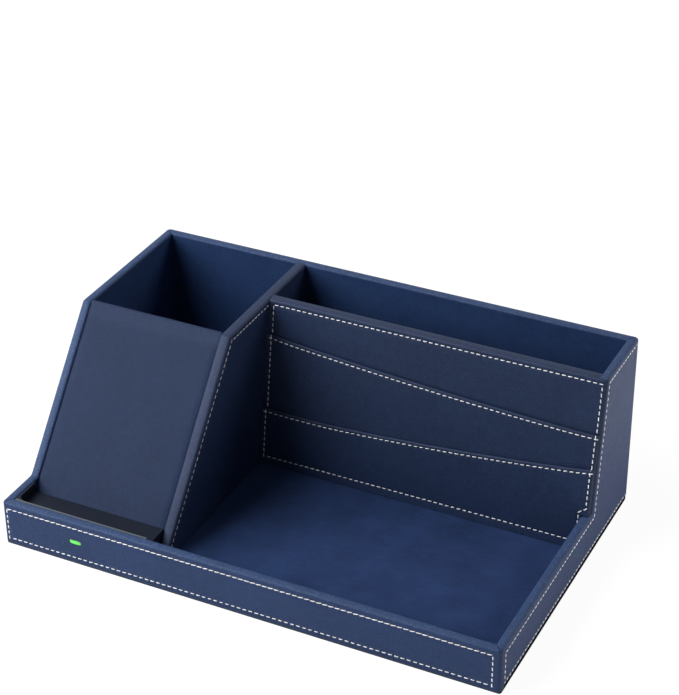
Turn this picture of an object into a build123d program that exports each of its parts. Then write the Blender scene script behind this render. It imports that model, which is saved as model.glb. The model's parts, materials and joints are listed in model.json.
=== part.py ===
from build123d import *
import os
from math import atan2, cos, radians, sin, tan

os.makedirs("parts", exist_ok=True)

# Leather-wrapped desk organizer with a sloped wireless charger. Millimetres, +Z up, front
# towards -Y. The origin is the middle of the underside.

# Outside
width = 286.0
depth = 183.0
height = 103.3
low_height = 26.9

# Wrapped boards
leather = 0.9
wall_board = 3.2
middle_board = 4.2
wall = wall_board + 2 * leather
middle_wall = middle_board + 2 * leather
edge_round = 1.3
front_corner_round = 2.2
back_corner_round = 1.4
kink_round = 2.4

# Bottom
sheet_thickness = 2.0
sheet_inset = 0.6
sheet_side_inset = 0.1
base_thickness = 3.8
mat_thickness = 1.0
wall_foot = sheet_thickness
floor = wall_foot + base_thickness
mat_top = floor + mat_thickness

# Places in the side view, measured back from the front face
slope_start = 27.8
crest = 90.3
card_top = 134.8
card_lean = radians(8.5)

# Place of the divider's right face, measured from the left face
divider_right = 91.6
divider_toe = 3.5

# Clearances
fit = 0.1
overrun = 1.0
tiny = 0.01

left = -width / 2
right = width / 2
front = -depth / 2
back = depth / 2
inner_left = left + wall
inner_right = right - wall
inner_front = front + wall
inner_back = back - wall
divider_x = left + divider_right
phone_right = divider_x - middle_wall
crest_y = front + crest
slope = atan2(height - low_height, crest - slope_start)


def keep(piece, name):
    """Label a finished piece and write it under its name."""
    piece.part.label = name
    export_step(piece.part, f"parts/{name}.step")


def block(x0, x1, y0, y1, z0, z1, mode=Mode.ADD):
    """A square-cornered solid between two corners."""
    with BuildSketch(Plane.XY.offset(z0)) as face:
        with Locations(((x0 + x1) / 2, (y0 + y1) / 2)):
            Rectangle(x1 - x0, y1 - y0)
    extrude(face.sketch, amount=z1 - z0, mode=mode)


def side_prism(x0, x1, points, mode=Mode.ADD):
    """A solid with one side view all the way from x0 to x1."""
    with BuildSketch(Plane.YZ.offset(x0)) as face:
        with BuildLine():
            Polyline(*points, close=True)
        make_face()
    extrude(face.sketch, amount=x1 - x0, mode=mode)


def pill(plane, length, tall, deep, mode=Mode.ADD):
    """A solid with straight sides and half-round ends standing on a plane."""
    with BuildSketch(plane) as face:
        SlotOverall(length, tall)
    extrude(face.sketch, amount=deep, mode=mode)


def pegs(plane, radius, deep, places=((0, 0),), mode=Mode.ADD):
    """Equal round solids standing on a plane, one at each place."""
    with BuildSketch(plane) as face:
        with Locations(*places):
            Circle(radius)
    extrude(face.sketch, amount=deep, mode=mode)


def back_facing(x, y, z):
    """A plane across the part that looks towards the back."""
    return Plane(origin=(x, y, z), x_dir=(1, 0, 0), z_dir=(0, 1, 0))


def wall_side(x, foot, top, kinks, skin=0):
    """Side view of a wall under its top line, or of the board that a skin covers on top."""
    (start_y, start_z), (end_y, end_z) = top[0], top[-1]
    with BuildSketch(Plane.YZ.offset(x)) as side:
        with BuildLine():
            Polyline(
                (start_y - skin, foot - skin),
                (start_y - skin, start_z),
                *top[1:-1],
                (end_y + skin, end_z),
                (end_y + skin, foot - skin),
                close=True,
            )
        make_face()
        for y, z in kinks:
            fillet(side.vertices().sort_by_distance((y, z, 0))[0], kink_round)
        if skin:
            offset(amount=-skin, kind=Kind.INTERSECTION)
    return side.sketch


def wrapped_wall(name, x0, board, foot, top, kinks):
    """A board that runs from front to back, and the leather folded over its top."""
    core = wall_side(x0 + leather, foot, top, kinks, leather)
    with BuildPart() as wall_core:
        extrude(core, amount=board)
    keep(wall_core, f"{name}_board")
    with BuildPart() as cover:
        extrude(wall_side(x0, foot, top, kinks), amount=board + 2 * leather)
        rims = [
            edge
            for edge in cover.faces().filter_by(Axis.X).edges()
            if top[0][0] + tiny < edge.center().Y < top[-1][0] - tiny
            and edge.center().Z > foot + tiny
            and (kinks or edge.geom_type == GeomType.LINE and abs(edge.tangent_at(0).Z) < tiny)
        ]
        fillet(rims, edge_round)
        extrude(core, amount=board, mode=Mode.SUBTRACT)
    keep(cover, f"{name}_cover")


def cross_wall_board(y0, y1, outer_y, top, corner_round, mode=Mode.ADD):
    """The board inside a wall that runs across the part, its outer corners rounded."""
    with BuildSketch(Plane.XY.offset(wall_foot)) as outline:
        with Locations((0, (y0 + y1) / 2)):
            Rectangle(width - 2 * leather, y1 - y0)
        corners = outline.vertices().sort_by(Axis.Y, reverse=outer_y > 0)[:2]
        fillet(corners, corner_round - leather)
    extrude(outline.sketch, amount=top - leather - wall_foot, mode=mode)


def cross_wall_skin(piece, y0, y1, outer_y, top, corner_round):
    """Leather round a wall that runs across the part, before any hole is cut in it."""
    block(left, right, y0, y1, wall_foot, top)
    corners = [e for e in piece.edges().filter_by(Axis.Z) if abs(e.center().Y - outer_y) < tiny]
    fillet(corners, corner_round)
    fillet(piece.faces().sort_by(Axis.Z)[-1].edges(), edge_round)
    cross_wall_board(y0 + leather, y1 - leather, outer_y, top, corner_round, mode=Mode.SUBTRACT)


def slope_y(z, deep=0):
    """Where the charging slope stands at a height, deep under its surface."""
    return crest_y - (height - z) / tan(slope) + deep / sin(slope)


def slope_point(along, deep):
    """Side view of a point, along the slope down from the crest and deep under it."""
    return (
        crest_y - along * cos(slope) + deep * sin(slope),
        height - along * sin(slope) - deep * cos(slope),
    )


def card_face(z):
    """Where the front of the leaning panel stands at a height."""
    return front + card_top - (height - z) * tan(card_lean)


def card_side(near, far, z0, z1):
    """Side view of a layer of the leaning panel between two depths behind its front."""
    return [
        (card_face(z0) + near / cos(card_lean), z0),
        (card_face(z1) + near / cos(card_lean), z1),
        (card_face(z1) + far / cos(card_lean), z1),
        (card_face(z0) + far / cos(card_lean), z0),
    ]


# Base

with BuildPart() as base_sheet:
    block(left + sheet_side_inset, right - sheet_side_inset, front + sheet_inset,
          back - sheet_inset, 0, sheet_thickness)
    fillet(base_sheet.edges().filter_by(Axis.Z), back_corner_round)
keep(base_sheet, "base_sheet")

# Control board on its spacers, under the slope
board_length = 42.0
board_depth = 30.0
board_thickness = 1.2
board_setback = 44.0
board_front = front + board_setback
board_x = (inner_left + phone_right) / 2
spacer_tall = 3.0
spacer_radius = 2.2
board_inset = 3.2
screw_radius = 1.0
screw_head_radius = 1.8
screw_head_tall = 1.1
screw_bite = 2.4
board_foot = floor + spacer_tall
board_top = board_foot + board_thickness
board_y = board_front + board_depth / 2
board_corners = [
    (board_x + i * (board_length / 2 - board_inset), board_y + j * (board_depth / 2 - board_inset))
    for i in (-1, 1)
    for j in (-1, 1)
]

with BuildPart() as base_board:
    block(inner_left, inner_right, inner_front, inner_back, wall_foot, floor)
    pegs(Plane.XY.offset(floor), screw_radius + fit, -screw_bite - fit, board_corners,
         mode=Mode.SUBTRACT)
keep(base_board, "base_board")

with BuildPart() as board_spacers:
    pegs(Plane.XY.offset(floor), spacer_radius, spacer_tall, board_corners)
    pegs(Plane.XY.offset(floor), screw_radius + fit, spacer_tall, board_corners,
         mode=Mode.SUBTRACT)
keep(board_spacers, "board_spacers")

with BuildPart() as control_board:
    block(board_x - board_length / 2, board_x + board_length / 2,
          board_front, board_front + board_depth, board_foot, board_top)
    pegs(Plane.XY.offset(board_foot), screw_radius + fit, board_thickness, board_corners,
         mode=Mode.SUBTRACT)
keep(control_board, "control_board")

with BuildPart() as board_screws:
    pegs(Plane.XY.offset(board_top), screw_radius, floor - board_top - screw_bite, board_corners)
    pegs(Plane.XY.offset(board_top), screw_head_radius, screw_head_tall, board_corners)
    fillet(board_screws.edges().group_by(Axis.Z)[-1], screw_head_tall / 2)
keep(board_screws, "board_screws")

# Front wall with the pill-shaped charge light
light_inset = 44.7
light_x = left + light_inset
light_z = 14.0
light_length = 7.4
light_tall = 2.8
lens_recess = 0.2
lamp_length = 1.6
lamp_tall = 0.8
lamp_deep = 0.9
light_board_length = 18.0
light_board_tall = 9.6
light_board_thickness = 1.0

with BuildPart() as front_cover:
    cross_wall_skin(front_cover, front, inner_front, front, low_height, front_corner_round)
    pill(back_facing(light_x, front - overrun, light_z), light_length, light_tall,
         wall + 2 * overrun, mode=Mode.SUBTRACT)
keep(front_cover, "front_cover")

with BuildPart() as front_board:
    cross_wall_board(front + leather, inner_front - leather, front, low_height,
                     front_corner_round)
    pill(back_facing(light_x, front, light_z), light_length, light_tall, wall,
         mode=Mode.SUBTRACT)
keep(front_board, "front_board")

with BuildPart() as light_lens:
    pill(back_facing(light_x, front + lens_recess, light_z), light_length - 2 * fit,
         light_tall - 2 * fit, wall_board)
keep(light_lens, "light_lens")

with BuildPart() as light_lamp:
    block(light_x - lamp_length / 2, light_x + lamp_length / 2, inner_front - lamp_deep,
          inner_front, light_z - lamp_tall / 2, light_z + lamp_tall / 2)
keep(light_lamp, "light_lamp")

with BuildPart() as light_board:
    block(light_x - light_board_length / 2, light_x + light_board_length / 2, inner_front,
          inner_front + light_board_thickness, floor, floor + light_board_tall)
keep(light_board, "light_board")

# Side walls and the divider
left_kinks = [(front + slope_start, low_height), (crest_y, height)]
wrapped_wall(
    "left", left, wall_board, wall_foot,
    [(inner_front, low_height), *left_kinks, (inner_back, height)],
    left_kinks,
)

rise_back = leather / cos(card_lean)
wrapped_wall(
    "right", inner_right, wall_board, wall_foot,
    [
        (inner_front, low_height),
        (card_face(low_height) + rise_back, low_height),
        (card_face(height) + rise_back, height),
        (inner_back, height),
    ],
    [],
)

toe_z = floor + divider_toe
divider_kinks = [(slope_y(toe_z), toe_z), (crest_y, height)]
wrapped_wall(
    "divider", phone_right, middle_board, floor,
    [(inner_front, toe_z), *divider_kinks, (inner_back, height)],
    divider_kinks,
)

# Back wall with the inlet
inlet_inset = 45.0
inlet_x = left + inlet_inset
inlet_z = 11.1
bezel_length = 14.6
bezel_tall = 8.8
bezel_rim = 0.9
bezel_floor = 1.0
plug_recess = wall - bezel_floor
shell_length = 8.94
shell_tall = 3.16
shell_deep = 7.3
shell_skin = 0.3
tongue_length = 6.7
tongue_tall = 0.7
tongue_short = 0.8
shell_block = 2.0
inlet_board_length = 20.0
inlet_board_depth = 14.0
inlet_board_thickness = 1.0
shell_mouth = back - plug_recess
shell_back = shell_mouth - shell_deep
inlet_board_top = inlet_z - shell_tall / 2
inlet_board_back = inner_back - fit
inlet_board_front = inlet_board_back - inlet_board_depth

with BuildPart() as back_cover:
    cross_wall_skin(back_cover, inner_back, back, back, height, back_corner_round)
    pill(back_facing(inlet_x, inner_back - overrun, inlet_z), bezel_length + 2 * fit,
         bezel_tall + 2 * fit, wall + 2 * overrun, mode=Mode.SUBTRACT)
keep(back_cover, "back_cover")

with BuildPart() as back_board:
    cross_wall_board(inner_back + leather, back - leather, back, height, back_corner_round)
    pill(back_facing(inlet_x, inner_back, inlet_z), bezel_length + 2 * fit,
         bezel_tall + 2 * fit, wall, mode=Mode.SUBTRACT)
keep(back_board, "back_board")

with BuildPart() as inlet_bezel:
    pill(back_facing(inlet_x, inner_back, inlet_z), bezel_length, bezel_tall, wall)
    pill(back_facing(inlet_x, shell_mouth, inlet_z), bezel_length - 2 * bezel_rim,
         bezel_tall - 2 * bezel_rim, plug_recess, mode=Mode.SUBTRACT)
    pill(back_facing(inlet_x, inner_back, inlet_z), shell_length + 2 * fit,
         shell_tall + 2 * fit, bezel_floor, mode=Mode.SUBTRACT)
keep(inlet_bezel, "inlet_bezel")

with BuildPart() as inlet_shell:
    pill(back_facing(inlet_x, shell_back, inlet_z), shell_length, shell_tall, shell_deep)
    pill(back_facing(inlet_x, shell_back, inlet_z), shell_length - 2 * shell_skin,
         shell_tall - 2 * shell_skin, shell_deep, mode=Mode.SUBTRACT)
keep(inlet_shell, "inlet_shell")

with BuildPart() as inlet_tongue:
    pill(back_facing(inlet_x, shell_back, inlet_z), shell_length - 2 * shell_skin - 2 * fit,
         shell_tall - 2 * shell_skin - 2 * fit, shell_block)
    block(inlet_x - tongue_length / 2, inlet_x + tongue_length / 2, shell_back,
          shell_mouth - tongue_short, inlet_z - tongue_tall / 2, inlet_z + tongue_tall / 2)
keep(inlet_tongue, "inlet_tongue")

with BuildPart() as inlet_board:
    block(inlet_x - inlet_board_length / 2, inlet_x + inlet_board_length / 2,
          inlet_board_front, inlet_board_back,
          inlet_board_top - inlet_board_thickness, inlet_board_top)
keep(inlet_board, "inlet_board")

with BuildPart() as inlet_block:
    block(inlet_x - inlet_board_length / 2, inlet_x + inlet_board_length / 2,
          inlet_board_front, inlet_board_back, floor, inlet_board_top - inlet_board_thickness)
keep(inlet_block, "inlet_block")

# Leaning panel and its two sewn pockets
with BuildPart() as card_board:
    side_prism(divider_x, inner_right,
               card_side(leather, leather + middle_board, floor, height - leather))
keep(card_board, "card_board")

with BuildPart() as card_cover:
    side_prism(divider_x, inner_right, card_side(0, middle_wall, floor, height))
    fillet(card_cover.edges().filter_by(Axis.X).group_by(Axis.Z)[-1], edge_round)
    side_prism(divider_x, inner_right,
               card_side(leather, leather + middle_board, floor, height - leather),
               mode=Mode.SUBTRACT)
    side_prism(inner_right, right, card_side(0, leather, low_height, height - edge_round / 2))
keep(card_cover, "card_cover")

pocket_gap = 0.8
pocket_leather = 1.3
pocket_margin = 3.4
pocket_hem = 5.0
pocket_step = 2.8
middle_heights = (84.5, 77.3, 73.1)
front_heights = (40.8, 45.9, 54.3)
front_flat_share = 0.2
pocket_foot = mat_top / cos(card_lean)
pocket_low = (low_height + pocket_step) / cos(card_lean)
pocket_reach = right - leather - divider_x
pocket_low_reach = inner_right - divider_x


def card_plane(off):
    """A plane along the leaning panel's front, off in front of it, level with the underside."""
    square = (0, -cos(card_lean), sin(card_lean))
    return Plane(origin=(divider_x, card_face(0), 0), x_dir=(1, 0, 0), z_dir=square).offset(off)


def pocket(name, off, heights, flat_share=0):
    """A folded leather panel sewn down along both sides and its foot, open at the top."""
    flat = flat_share * pocket_reach
    corner = [(flat, heights[0])] if flat_share else []
    with BuildSketch(card_plane(off)) as outline:
        with BuildLine():
            ThreePointArc((flat, heights[0]), ((flat + pocket_reach) / 2, heights[1]),
                          (pocket_reach, heights[2]))
            Polyline(
                (pocket_reach, heights[2]),
                (pocket_reach, pocket_low),
                (pocket_low_reach, pocket_low),
                (pocket_low_reach, pocket_foot),
                (0, pocket_foot),
                (0, heights[0]),
                *corner,
            )
        make_face()
    with BuildSketch(card_plane(off)) as card_space:
        with BuildLine():
            Polyline(
                (pocket_margin, pocket_foot + pocket_hem),
                (pocket_low_reach - pocket_margin, pocket_foot + pocket_hem),
                (pocket_low_reach - pocket_margin, height),
                (pocket_margin, height),
                close=True,
            )
        make_face()
    with BuildPart() as panel:
        extrude(outline.sketch, amount=pocket_gap + pocket_leather)
        extrude(card_space.sketch, amount=pocket_gap, mode=Mode.SUBTRACT)
    keep(panel, name)


pocket("middle_pocket", 0, middle_heights)
pocket("front_pocket", pocket_gap + pocket_leather, front_heights, front_flat_share)

# Sloped panel, with a round window for the charger behind its leather
panel_recess = 1.0
panel_board = 3.0
shelf_board_thickness = 3.0
shelf_top = 19.3
shelf_lap = 2.0
batten_width = 6.0
skin_deep = panel_recess + leather
panel_deep = skin_deep + panel_board
panel_top = height - skin_deep / cos(slope)
charger_along = 39.0
housing_radius = 26.0
housing_wall = 1.2
housing_front = 0.8
flange_radius = 29.0
flange_thickness = 1.5
housing_room = panel_board + flange_thickness
charger_screw_radius = 0.8
charger_screw_head = 1.4
charger_screw_tall = 1.0
charger_screw_bite = 2.2
charger_screw_angles = (30, 150, 270)
charger_screw_length = flange_thickness + charger_screw_bite
charger_x = board_x


def charger_plane(deep):
    """A plane on the middle of the charger, deep under the slope and facing inwards."""
    y, z = slope_point(charger_along, deep)
    return Plane(origin=(charger_x, y, z), x_dir=(1, 0, 0), z_dir=(0, sin(slope), -cos(slope)))


def slope_layer(near, far, near_top, far_top):
    """Side view of a layer of the sloped panel, from the shelf up to a height on each face."""
    return [
        (slope_y(shelf_top, near), shelf_top),
        (slope_y(near_top, near), near_top),
        (slope_y(far_top, far), far_top),
        (slope_y(shelf_top, far), shelf_top),
    ]


screw_ring = (housing_radius + flange_radius) / 2
charger_screw_places = [
    (screw_ring * cos(radians(angle)), -screw_ring * sin(radians(angle)))
    for angle in charger_screw_angles
]

with BuildPart() as phone_cover:
    side_prism(inner_left, phone_right,
               slope_layer(panel_recess, skin_deep, height - leather, height - leather))
keep(phone_cover, "phone_cover")

with BuildPart() as phone_board:
    side_prism(inner_left, phone_right,
               slope_layer(skin_deep, panel_deep, panel_top, height - panel_deep / cos(slope)))
    pegs(charger_plane(skin_deep), housing_radius + fit, panel_board, mode=Mode.SUBTRACT)
    pegs(charger_plane(panel_deep), charger_screw_radius + fit, flange_thickness
         - charger_screw_length - fit, charger_screw_places, mode=Mode.SUBTRACT)
keep(phone_board, "phone_board")

with BuildPart() as charger_housing:
    pegs(charger_plane(skin_deep), housing_radius, housing_room)
    pegs(charger_plane(panel_deep), flange_radius, flange_thickness)
    pegs(charger_plane(skin_deep + housing_front), housing_radius - housing_wall, housing_room,
         mode=Mode.SUBTRACT)
    pegs(charger_plane(panel_deep), charger_screw_radius + fit, flange_thickness,
         charger_screw_places, mode=Mode.SUBTRACT)
keep(charger_housing, "charger_housing")

with BuildPart() as charger_screws:
    seat = charger_plane(panel_deep + flange_thickness)
    pegs(seat, charger_screw_radius, -charger_screw_length, charger_screw_places)
    pegs(seat, charger_screw_head, charger_screw_tall, charger_screw_places)
keep(charger_screws, "charger_screws")

# Flat transmitter coil: half turns on two centres, half a step apart
coil_turns = 10
coil_inner = 9.6
coil_wire = 0.75
coil_step = 1.25
coil_lift = 0.2
ferrite_radius = 23.6
ferrite_thickness = 0.6
lid_thickness = 1.2
coil_deep = skin_deep + housing_front + coil_lift + coil_wire / 2
ferrite_deep = coil_deep + coil_wire / 2 + fit

with BuildLine(charger_plane(coil_deep)) as coil_path:
    Line((coil_inner, -coil_wire), (coil_inner, 0))
    for k in range(2 * coil_turns):
        side = 1 if k % 2 == 0 else -1
        middle = 0 if k % 2 == 0 else coil_step / 2
        radius = coil_inner + k * coil_step / 2
        ThreePointArc((middle + side * radius, 0), (middle, side * radius),
                      (middle - side * radius, 0))
    coil_outer = coil_inner + coil_turns * coil_step
    Line((coil_outer, 0), (coil_outer, coil_wire))
coil_route = coil_path.wires()[0]
with BuildPart() as transmitter_coil:
    with BuildSketch(Plane(origin=coil_route @ 0, z_dir=coil_route % 0)) as wire_ring:
        Circle(coil_wire / 2)
    sweep(wire_ring.sketch, path=coil_route)
keep(transmitter_coil, "transmitter_coil")

# Points along the coil, twenty or so to a turn, to measure its least gap to itself
coil_count = 20 * coil_turns
coil_points = [coil_route @ (k / coil_count) for k in range(coil_count + 1)]
coil_gap = min(
    (coil_points[i] - coil_points[j]).length - coil_wire
    for i in range(coil_count + 1)
    for j in range(i + coil_turns // 2, coil_count + 1)
)
print("coil: least gap to itself", round(coil_gap, 2), "mm, wire length",
      round(coil_route.length), "mm")

with BuildPart() as ferrite_disc:
    pegs(charger_plane(ferrite_deep), ferrite_radius, ferrite_thickness)
keep(ferrite_disc, "ferrite_disc")

with BuildPart() as charger_lid:
    pegs(charger_plane(panel_deep + flange_thickness - lid_thickness),
         housing_radius - housing_wall - fit, lid_thickness)
keep(charger_lid, "charger_lid")

# Shelf on its battens at the foot of the slope, and the moulded rest that stands on it, which
# has a skirt over the shelf's open end
rest_top = 20.8
rest_drop = 0.6
rest_lip = low_height - rest_drop
rest_front_rim = 1.1
rest_side_rim = 1.0
rest_corner = 4.5
shelf_foot = shelf_top - shelf_board_thickness
shelf_back = slope_y(shelf_top, panel_deep) + shelf_lap
rest_back = slope_y(shelf_top, panel_recess) - fit
shelf_right = phone_right - rest_side_rim

with BuildPart() as shelf_board:
    block(inner_left, shelf_right, inner_front, shelf_back, shelf_foot, shelf_top)
keep(shelf_board, "shelf_board")

with BuildPart() as shelf_battens:
    for x in (inner_left, shelf_right - batten_width):
        block(x, x + batten_width, inner_front, shelf_back, floor, shelf_foot)
keep(shelf_battens, "shelf_battens")

with BuildPart() as phone_rest:
    block(inner_left, phone_right, inner_front, rest_back, shelf_top, rest_lip)
    with BuildSketch(Plane.XY.offset(rest_top)) as recess:
        with BuildLine():
            Polyline(
                (inner_left + rest_side_rim, inner_front + rest_front_rim),
                (phone_right + overrun, inner_front + rest_front_rim),
                (phone_right + overrun, rest_back + overrun),
                (inner_left + rest_side_rim, rest_back + overrun),
                close=True,
            )
        make_face()
        fillet(recess.vertices().group_by(Axis.Y)[0].sort_by(Axis.X)[0], rest_corner)
    extrude(recess.sketch, amount=height, mode=Mode.SUBTRACT)
    block(shelf_right, phone_right, inner_front, shelf_back, floor, shelf_top)
keep(phone_rest, "phone_rest")

# Tall box behind the slope: its front board, its raised floor and what carries it
pen_board = 2.2
pen_floor_thickness = 3.0
pen_floor_foot = 15.9
pen_floor_top = pen_floor_foot + pen_floor_thickness
pen_round = 0.7
notch_width = 8.0
notch_tall = 9.4
pen_skin_y = crest_y + pen_board
pen_front_y = pen_skin_y + leather

with BuildPart() as pen_front_board:
    side_prism(
        inner_left, phone_right,
        [
            (crest_y, floor),
            (crest_y, panel_top),
            (slope_y(height - leather, skin_deep), height - leather),
            (pen_skin_y, height - leather),
            (pen_skin_y, floor),
        ],
    )
    block(board_x - notch_width / 2, board_x + notch_width / 2, crest_y, pen_skin_y,
          floor, floor + notch_tall, mode=Mode.SUBTRACT)
keep(pen_front_board, "pen_front_board")

with BuildPart() as pen_front_cover:
    side_prism(
        inner_left, phone_right,
        [
            (slope_y(height - leather, panel_recess), height - leather),
            (slope_y(height, panel_recess), height),
            (pen_front_y, height),
            (pen_front_y, pen_floor_top),
            (pen_skin_y, pen_floor_top),
            (pen_skin_y, height - leather),
        ],
    )
    fillet(pen_front_cover.edges().filter_by(Axis.X).group_by(Axis.Z)[-1], pen_round)
keep(pen_front_cover, "pen_front_cover")

with BuildPart() as pen_floor_board:
    block(inner_left, phone_right, pen_skin_y, inner_back, pen_floor_foot, pen_floor_top)
keep(pen_floor_board, "pen_floor_board")

with BuildPart() as pen_floor_battens:
    for x in (inner_left, phone_right - batten_width):
        block(x, x + batten_width, pen_skin_y, inner_back, floor, pen_floor_foot)
keep(pen_floor_battens, "pen_floor_battens")

# Suede mats
with BuildPart() as pen_mat:
    block(inner_left, phone_right, pen_front_y, inner_back, pen_floor_top,
          pen_floor_top + mat_thickness)
keep(pen_mat, "pen_mat")

with BuildPart() as tray_mat:
    block(divider_x, inner_right, inner_front, card_face(floor), floor, mat_top)
keep(tray_mat, "tray_mat")

with BuildPart() as slot_mat:
    block(divider_x, inner_right, card_face(mat_top) + middle_wall / cos(card_lean), inner_back,
          floor, mat_top)
keep(slot_mat, "slot_mat")

# Parts on the control board
driver_size = 6.0
driver_tall = 0.9
can_radius = 3.1
can_tall = 5.4
can_step = 7.4
choke_size = 6.4
choke_tall = 3.0
socket_length = 5.0
socket_deep = 4.0
socket_tall = 4.0
light_socket_offset = 9.0
coil_socket_setback = 22.0
cans_setback = 12.5
light_socket_x = board_x - light_socket_offset
coil_socket_y = board_front + coil_socket_setback
cans_y = board_front + cans_setback
socket_middle = board_top + socket_tall / 2
board_back = board_front + board_depth

with BuildPart() as driver_chip:
    block(board_x - driver_size / 2, board_x + driver_size / 2, board_front + fit,
          board_front + fit + driver_size, board_top, board_top + driver_tall)
keep(driver_chip, "driver_chip")

with BuildPart() as filter_cans:
    pegs(Plane.XY.offset(board_top), can_radius, can_tall,
         [(board_x + k * can_step, cans_y) for k in (-1, 0, 1)])
    fillet(filter_cans.edges().group_by(Axis.Z)[-1], can_radius / 8)
keep(filter_cans, "filter_cans")

choke_x = board_x + board_length / 2 - 2 * choke_size
choke_y = board_front + choke_size / 2 + fit
with BuildPart() as power_choke:
    block(choke_x - choke_size / 2, choke_x + choke_size / 2, choke_y - choke_size / 2,
          choke_y + choke_size / 2, board_top, board_top + choke_tall)
    fillet(power_choke.edges().filter_by(Axis.Z), choke_size / 6)
keep(power_choke, "power_choke")

with BuildPart() as lead_sockets:
    block(light_socket_x - socket_length / 2, light_socket_x + socket_length / 2,
          board_front, board_front + socket_deep, board_top, board_top + socket_tall)
    block(board_x - socket_length / 2, board_x + socket_length / 2,
          board_back - socket_deep, board_back, board_top, board_top + socket_tall)
    block(charger_x + socket_length, charger_x + 2 * socket_length,
          coil_socket_y - socket_deep / 2, coil_socket_y + socket_deep / 2,
          board_top, board_top + socket_tall)
    block(inlet_x - socket_length / 2, inlet_x + socket_length / 2, inlet_board_front,
          inlet_board_front + socket_deep, inlet_board_top, inlet_board_top + socket_tall)
keep(lead_sockets, "lead_sockets")

# Leads: straight runs joined by arcs as large as the runs allow. The corners of a route are
# given as steps from its start, and then as steps from its end.
bend_share = 0.45
power_lead_diameter = 3.0
power_steps_out = [(0, 15.0, 0), (2.5, 33.0, -1.3), (7.0, 50.0, -2.5)]
power_steps_in = [(3.0, -22.9, -1.2), (0, -14.0, 0)]
light_lead_diameter = 1.6
light_lead_offset = 4.0
light_lead_z = 9.3
light_steps_out = [(0, -9.0, 0), (2.0, -18.0, -1.7)]
light_steps_in = [(0, 9.0, 0)]
coil_lead_diameter = 2.0
coil_straight = 9.0
coil_steps_out = [
    (0, coil_straight * sin(slope), -coil_straight * cos(slope)),
    (1.0, 9.5, -20.0),
    (3.0, 6.0, -33.0),
]
coil_steps_in = [(0, 0, 11.0)]


def lead(name, diameter, start, steps_out, end, steps_in):
    """A lead of round section along its route, with the radii of its bends printed."""
    start, end = Vector(*start), Vector(*end)
    points = [
        start,
        *[start + Vector(*step) for step in steps_out],
        *[end + Vector(*step) for step in steps_in],
        end,
    ]
    runs = [b - a for a, b in zip(points, points[1:])]
    radii = [
        bend_share * min(a.length, b.length) / tan(radians(a.get_angle(b)) / 2)
        for a, b in zip(runs, runs[1:])
    ]
    with BuildLine() as route:
        FilletPolyline(*points, radius=radii)
    path = route.wires()[0]
    with BuildSketch(Plane(origin=points[0], z_dir=runs[0])) as ring:
        Circle(diameter / 2)
    with BuildPart() as tube:
        sweep(ring.sketch, path=path)
    keep(tube, name)
    print(name, "length", round(path.length, 1), "radii", [round(r, 1) for r in radii],
          "volume over section times length",
          round(tube.part.volume / (ring.sketch.area * path.length), 4))


inlet_socket_middle = inlet_board_top + socket_tall / 2
lead(
    "power_lead", power_lead_diameter,
    (board_x, board_back, socket_middle), power_steps_out,
    (inlet_x, inlet_board_front, inlet_socket_middle), power_steps_in,
)

light_back = inner_front + light_board_thickness
lead(
    "light_lead", light_lead_diameter,
    (light_socket_x, board_front, socket_middle), light_steps_out,
    (light_x + light_lead_offset, light_back, light_lead_z), light_steps_in,
)

lid_back = panel_deep + flange_thickness
coil_socket_x = charger_x + 1.5 * socket_length
lead(
    "coil_lead", coil_lead_diameter,
    (charger_x, *slope_point(charger_along, lid_back)), coil_steps_out,
    (coil_socket_x, coil_socket_y, board_top + socket_tall), coil_steps_in,
)
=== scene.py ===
import json
import math
import random

import bmesh
import bpy
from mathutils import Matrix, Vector, noise


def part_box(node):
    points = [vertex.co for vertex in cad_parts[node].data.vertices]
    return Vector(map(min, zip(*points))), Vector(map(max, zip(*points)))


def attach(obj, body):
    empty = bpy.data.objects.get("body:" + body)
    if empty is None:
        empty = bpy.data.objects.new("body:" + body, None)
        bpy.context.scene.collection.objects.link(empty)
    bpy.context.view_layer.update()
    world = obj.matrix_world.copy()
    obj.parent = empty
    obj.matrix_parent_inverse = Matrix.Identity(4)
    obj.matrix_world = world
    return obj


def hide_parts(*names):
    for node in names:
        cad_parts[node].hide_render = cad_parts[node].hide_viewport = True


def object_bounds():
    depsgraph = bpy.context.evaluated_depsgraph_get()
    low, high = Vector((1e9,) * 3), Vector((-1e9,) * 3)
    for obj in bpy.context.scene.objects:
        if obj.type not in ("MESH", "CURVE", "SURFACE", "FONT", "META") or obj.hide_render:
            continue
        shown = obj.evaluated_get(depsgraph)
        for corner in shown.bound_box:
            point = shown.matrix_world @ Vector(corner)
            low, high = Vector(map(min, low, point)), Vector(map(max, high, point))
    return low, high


bl_info = {
    "name": "Desk Organizer Looks",
    "version": (1, 0, 0),
    "blender": (4, 5, 0),
    "location": "View3D > Sidebar > Organizer",
    "description": "Leather, thread, suede and plastic for a desk organizer with a sloped charger",
    "category": "Object",
}

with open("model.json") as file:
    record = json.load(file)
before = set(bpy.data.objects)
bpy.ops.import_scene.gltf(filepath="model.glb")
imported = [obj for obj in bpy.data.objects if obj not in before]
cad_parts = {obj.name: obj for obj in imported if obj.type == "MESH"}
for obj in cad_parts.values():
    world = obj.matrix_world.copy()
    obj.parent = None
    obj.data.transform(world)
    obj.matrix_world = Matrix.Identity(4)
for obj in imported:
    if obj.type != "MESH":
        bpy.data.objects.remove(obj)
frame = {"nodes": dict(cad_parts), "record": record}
cad_low, cad_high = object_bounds()

# Sizes are in millimetres, in the frame's own axes, and become metres in the meshes.
METRE = 1000.0


def span(node):
    """Lowest and highest corner of a node of the frame."""
    low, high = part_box(node)
    return low * METRE, high * METRE


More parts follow.
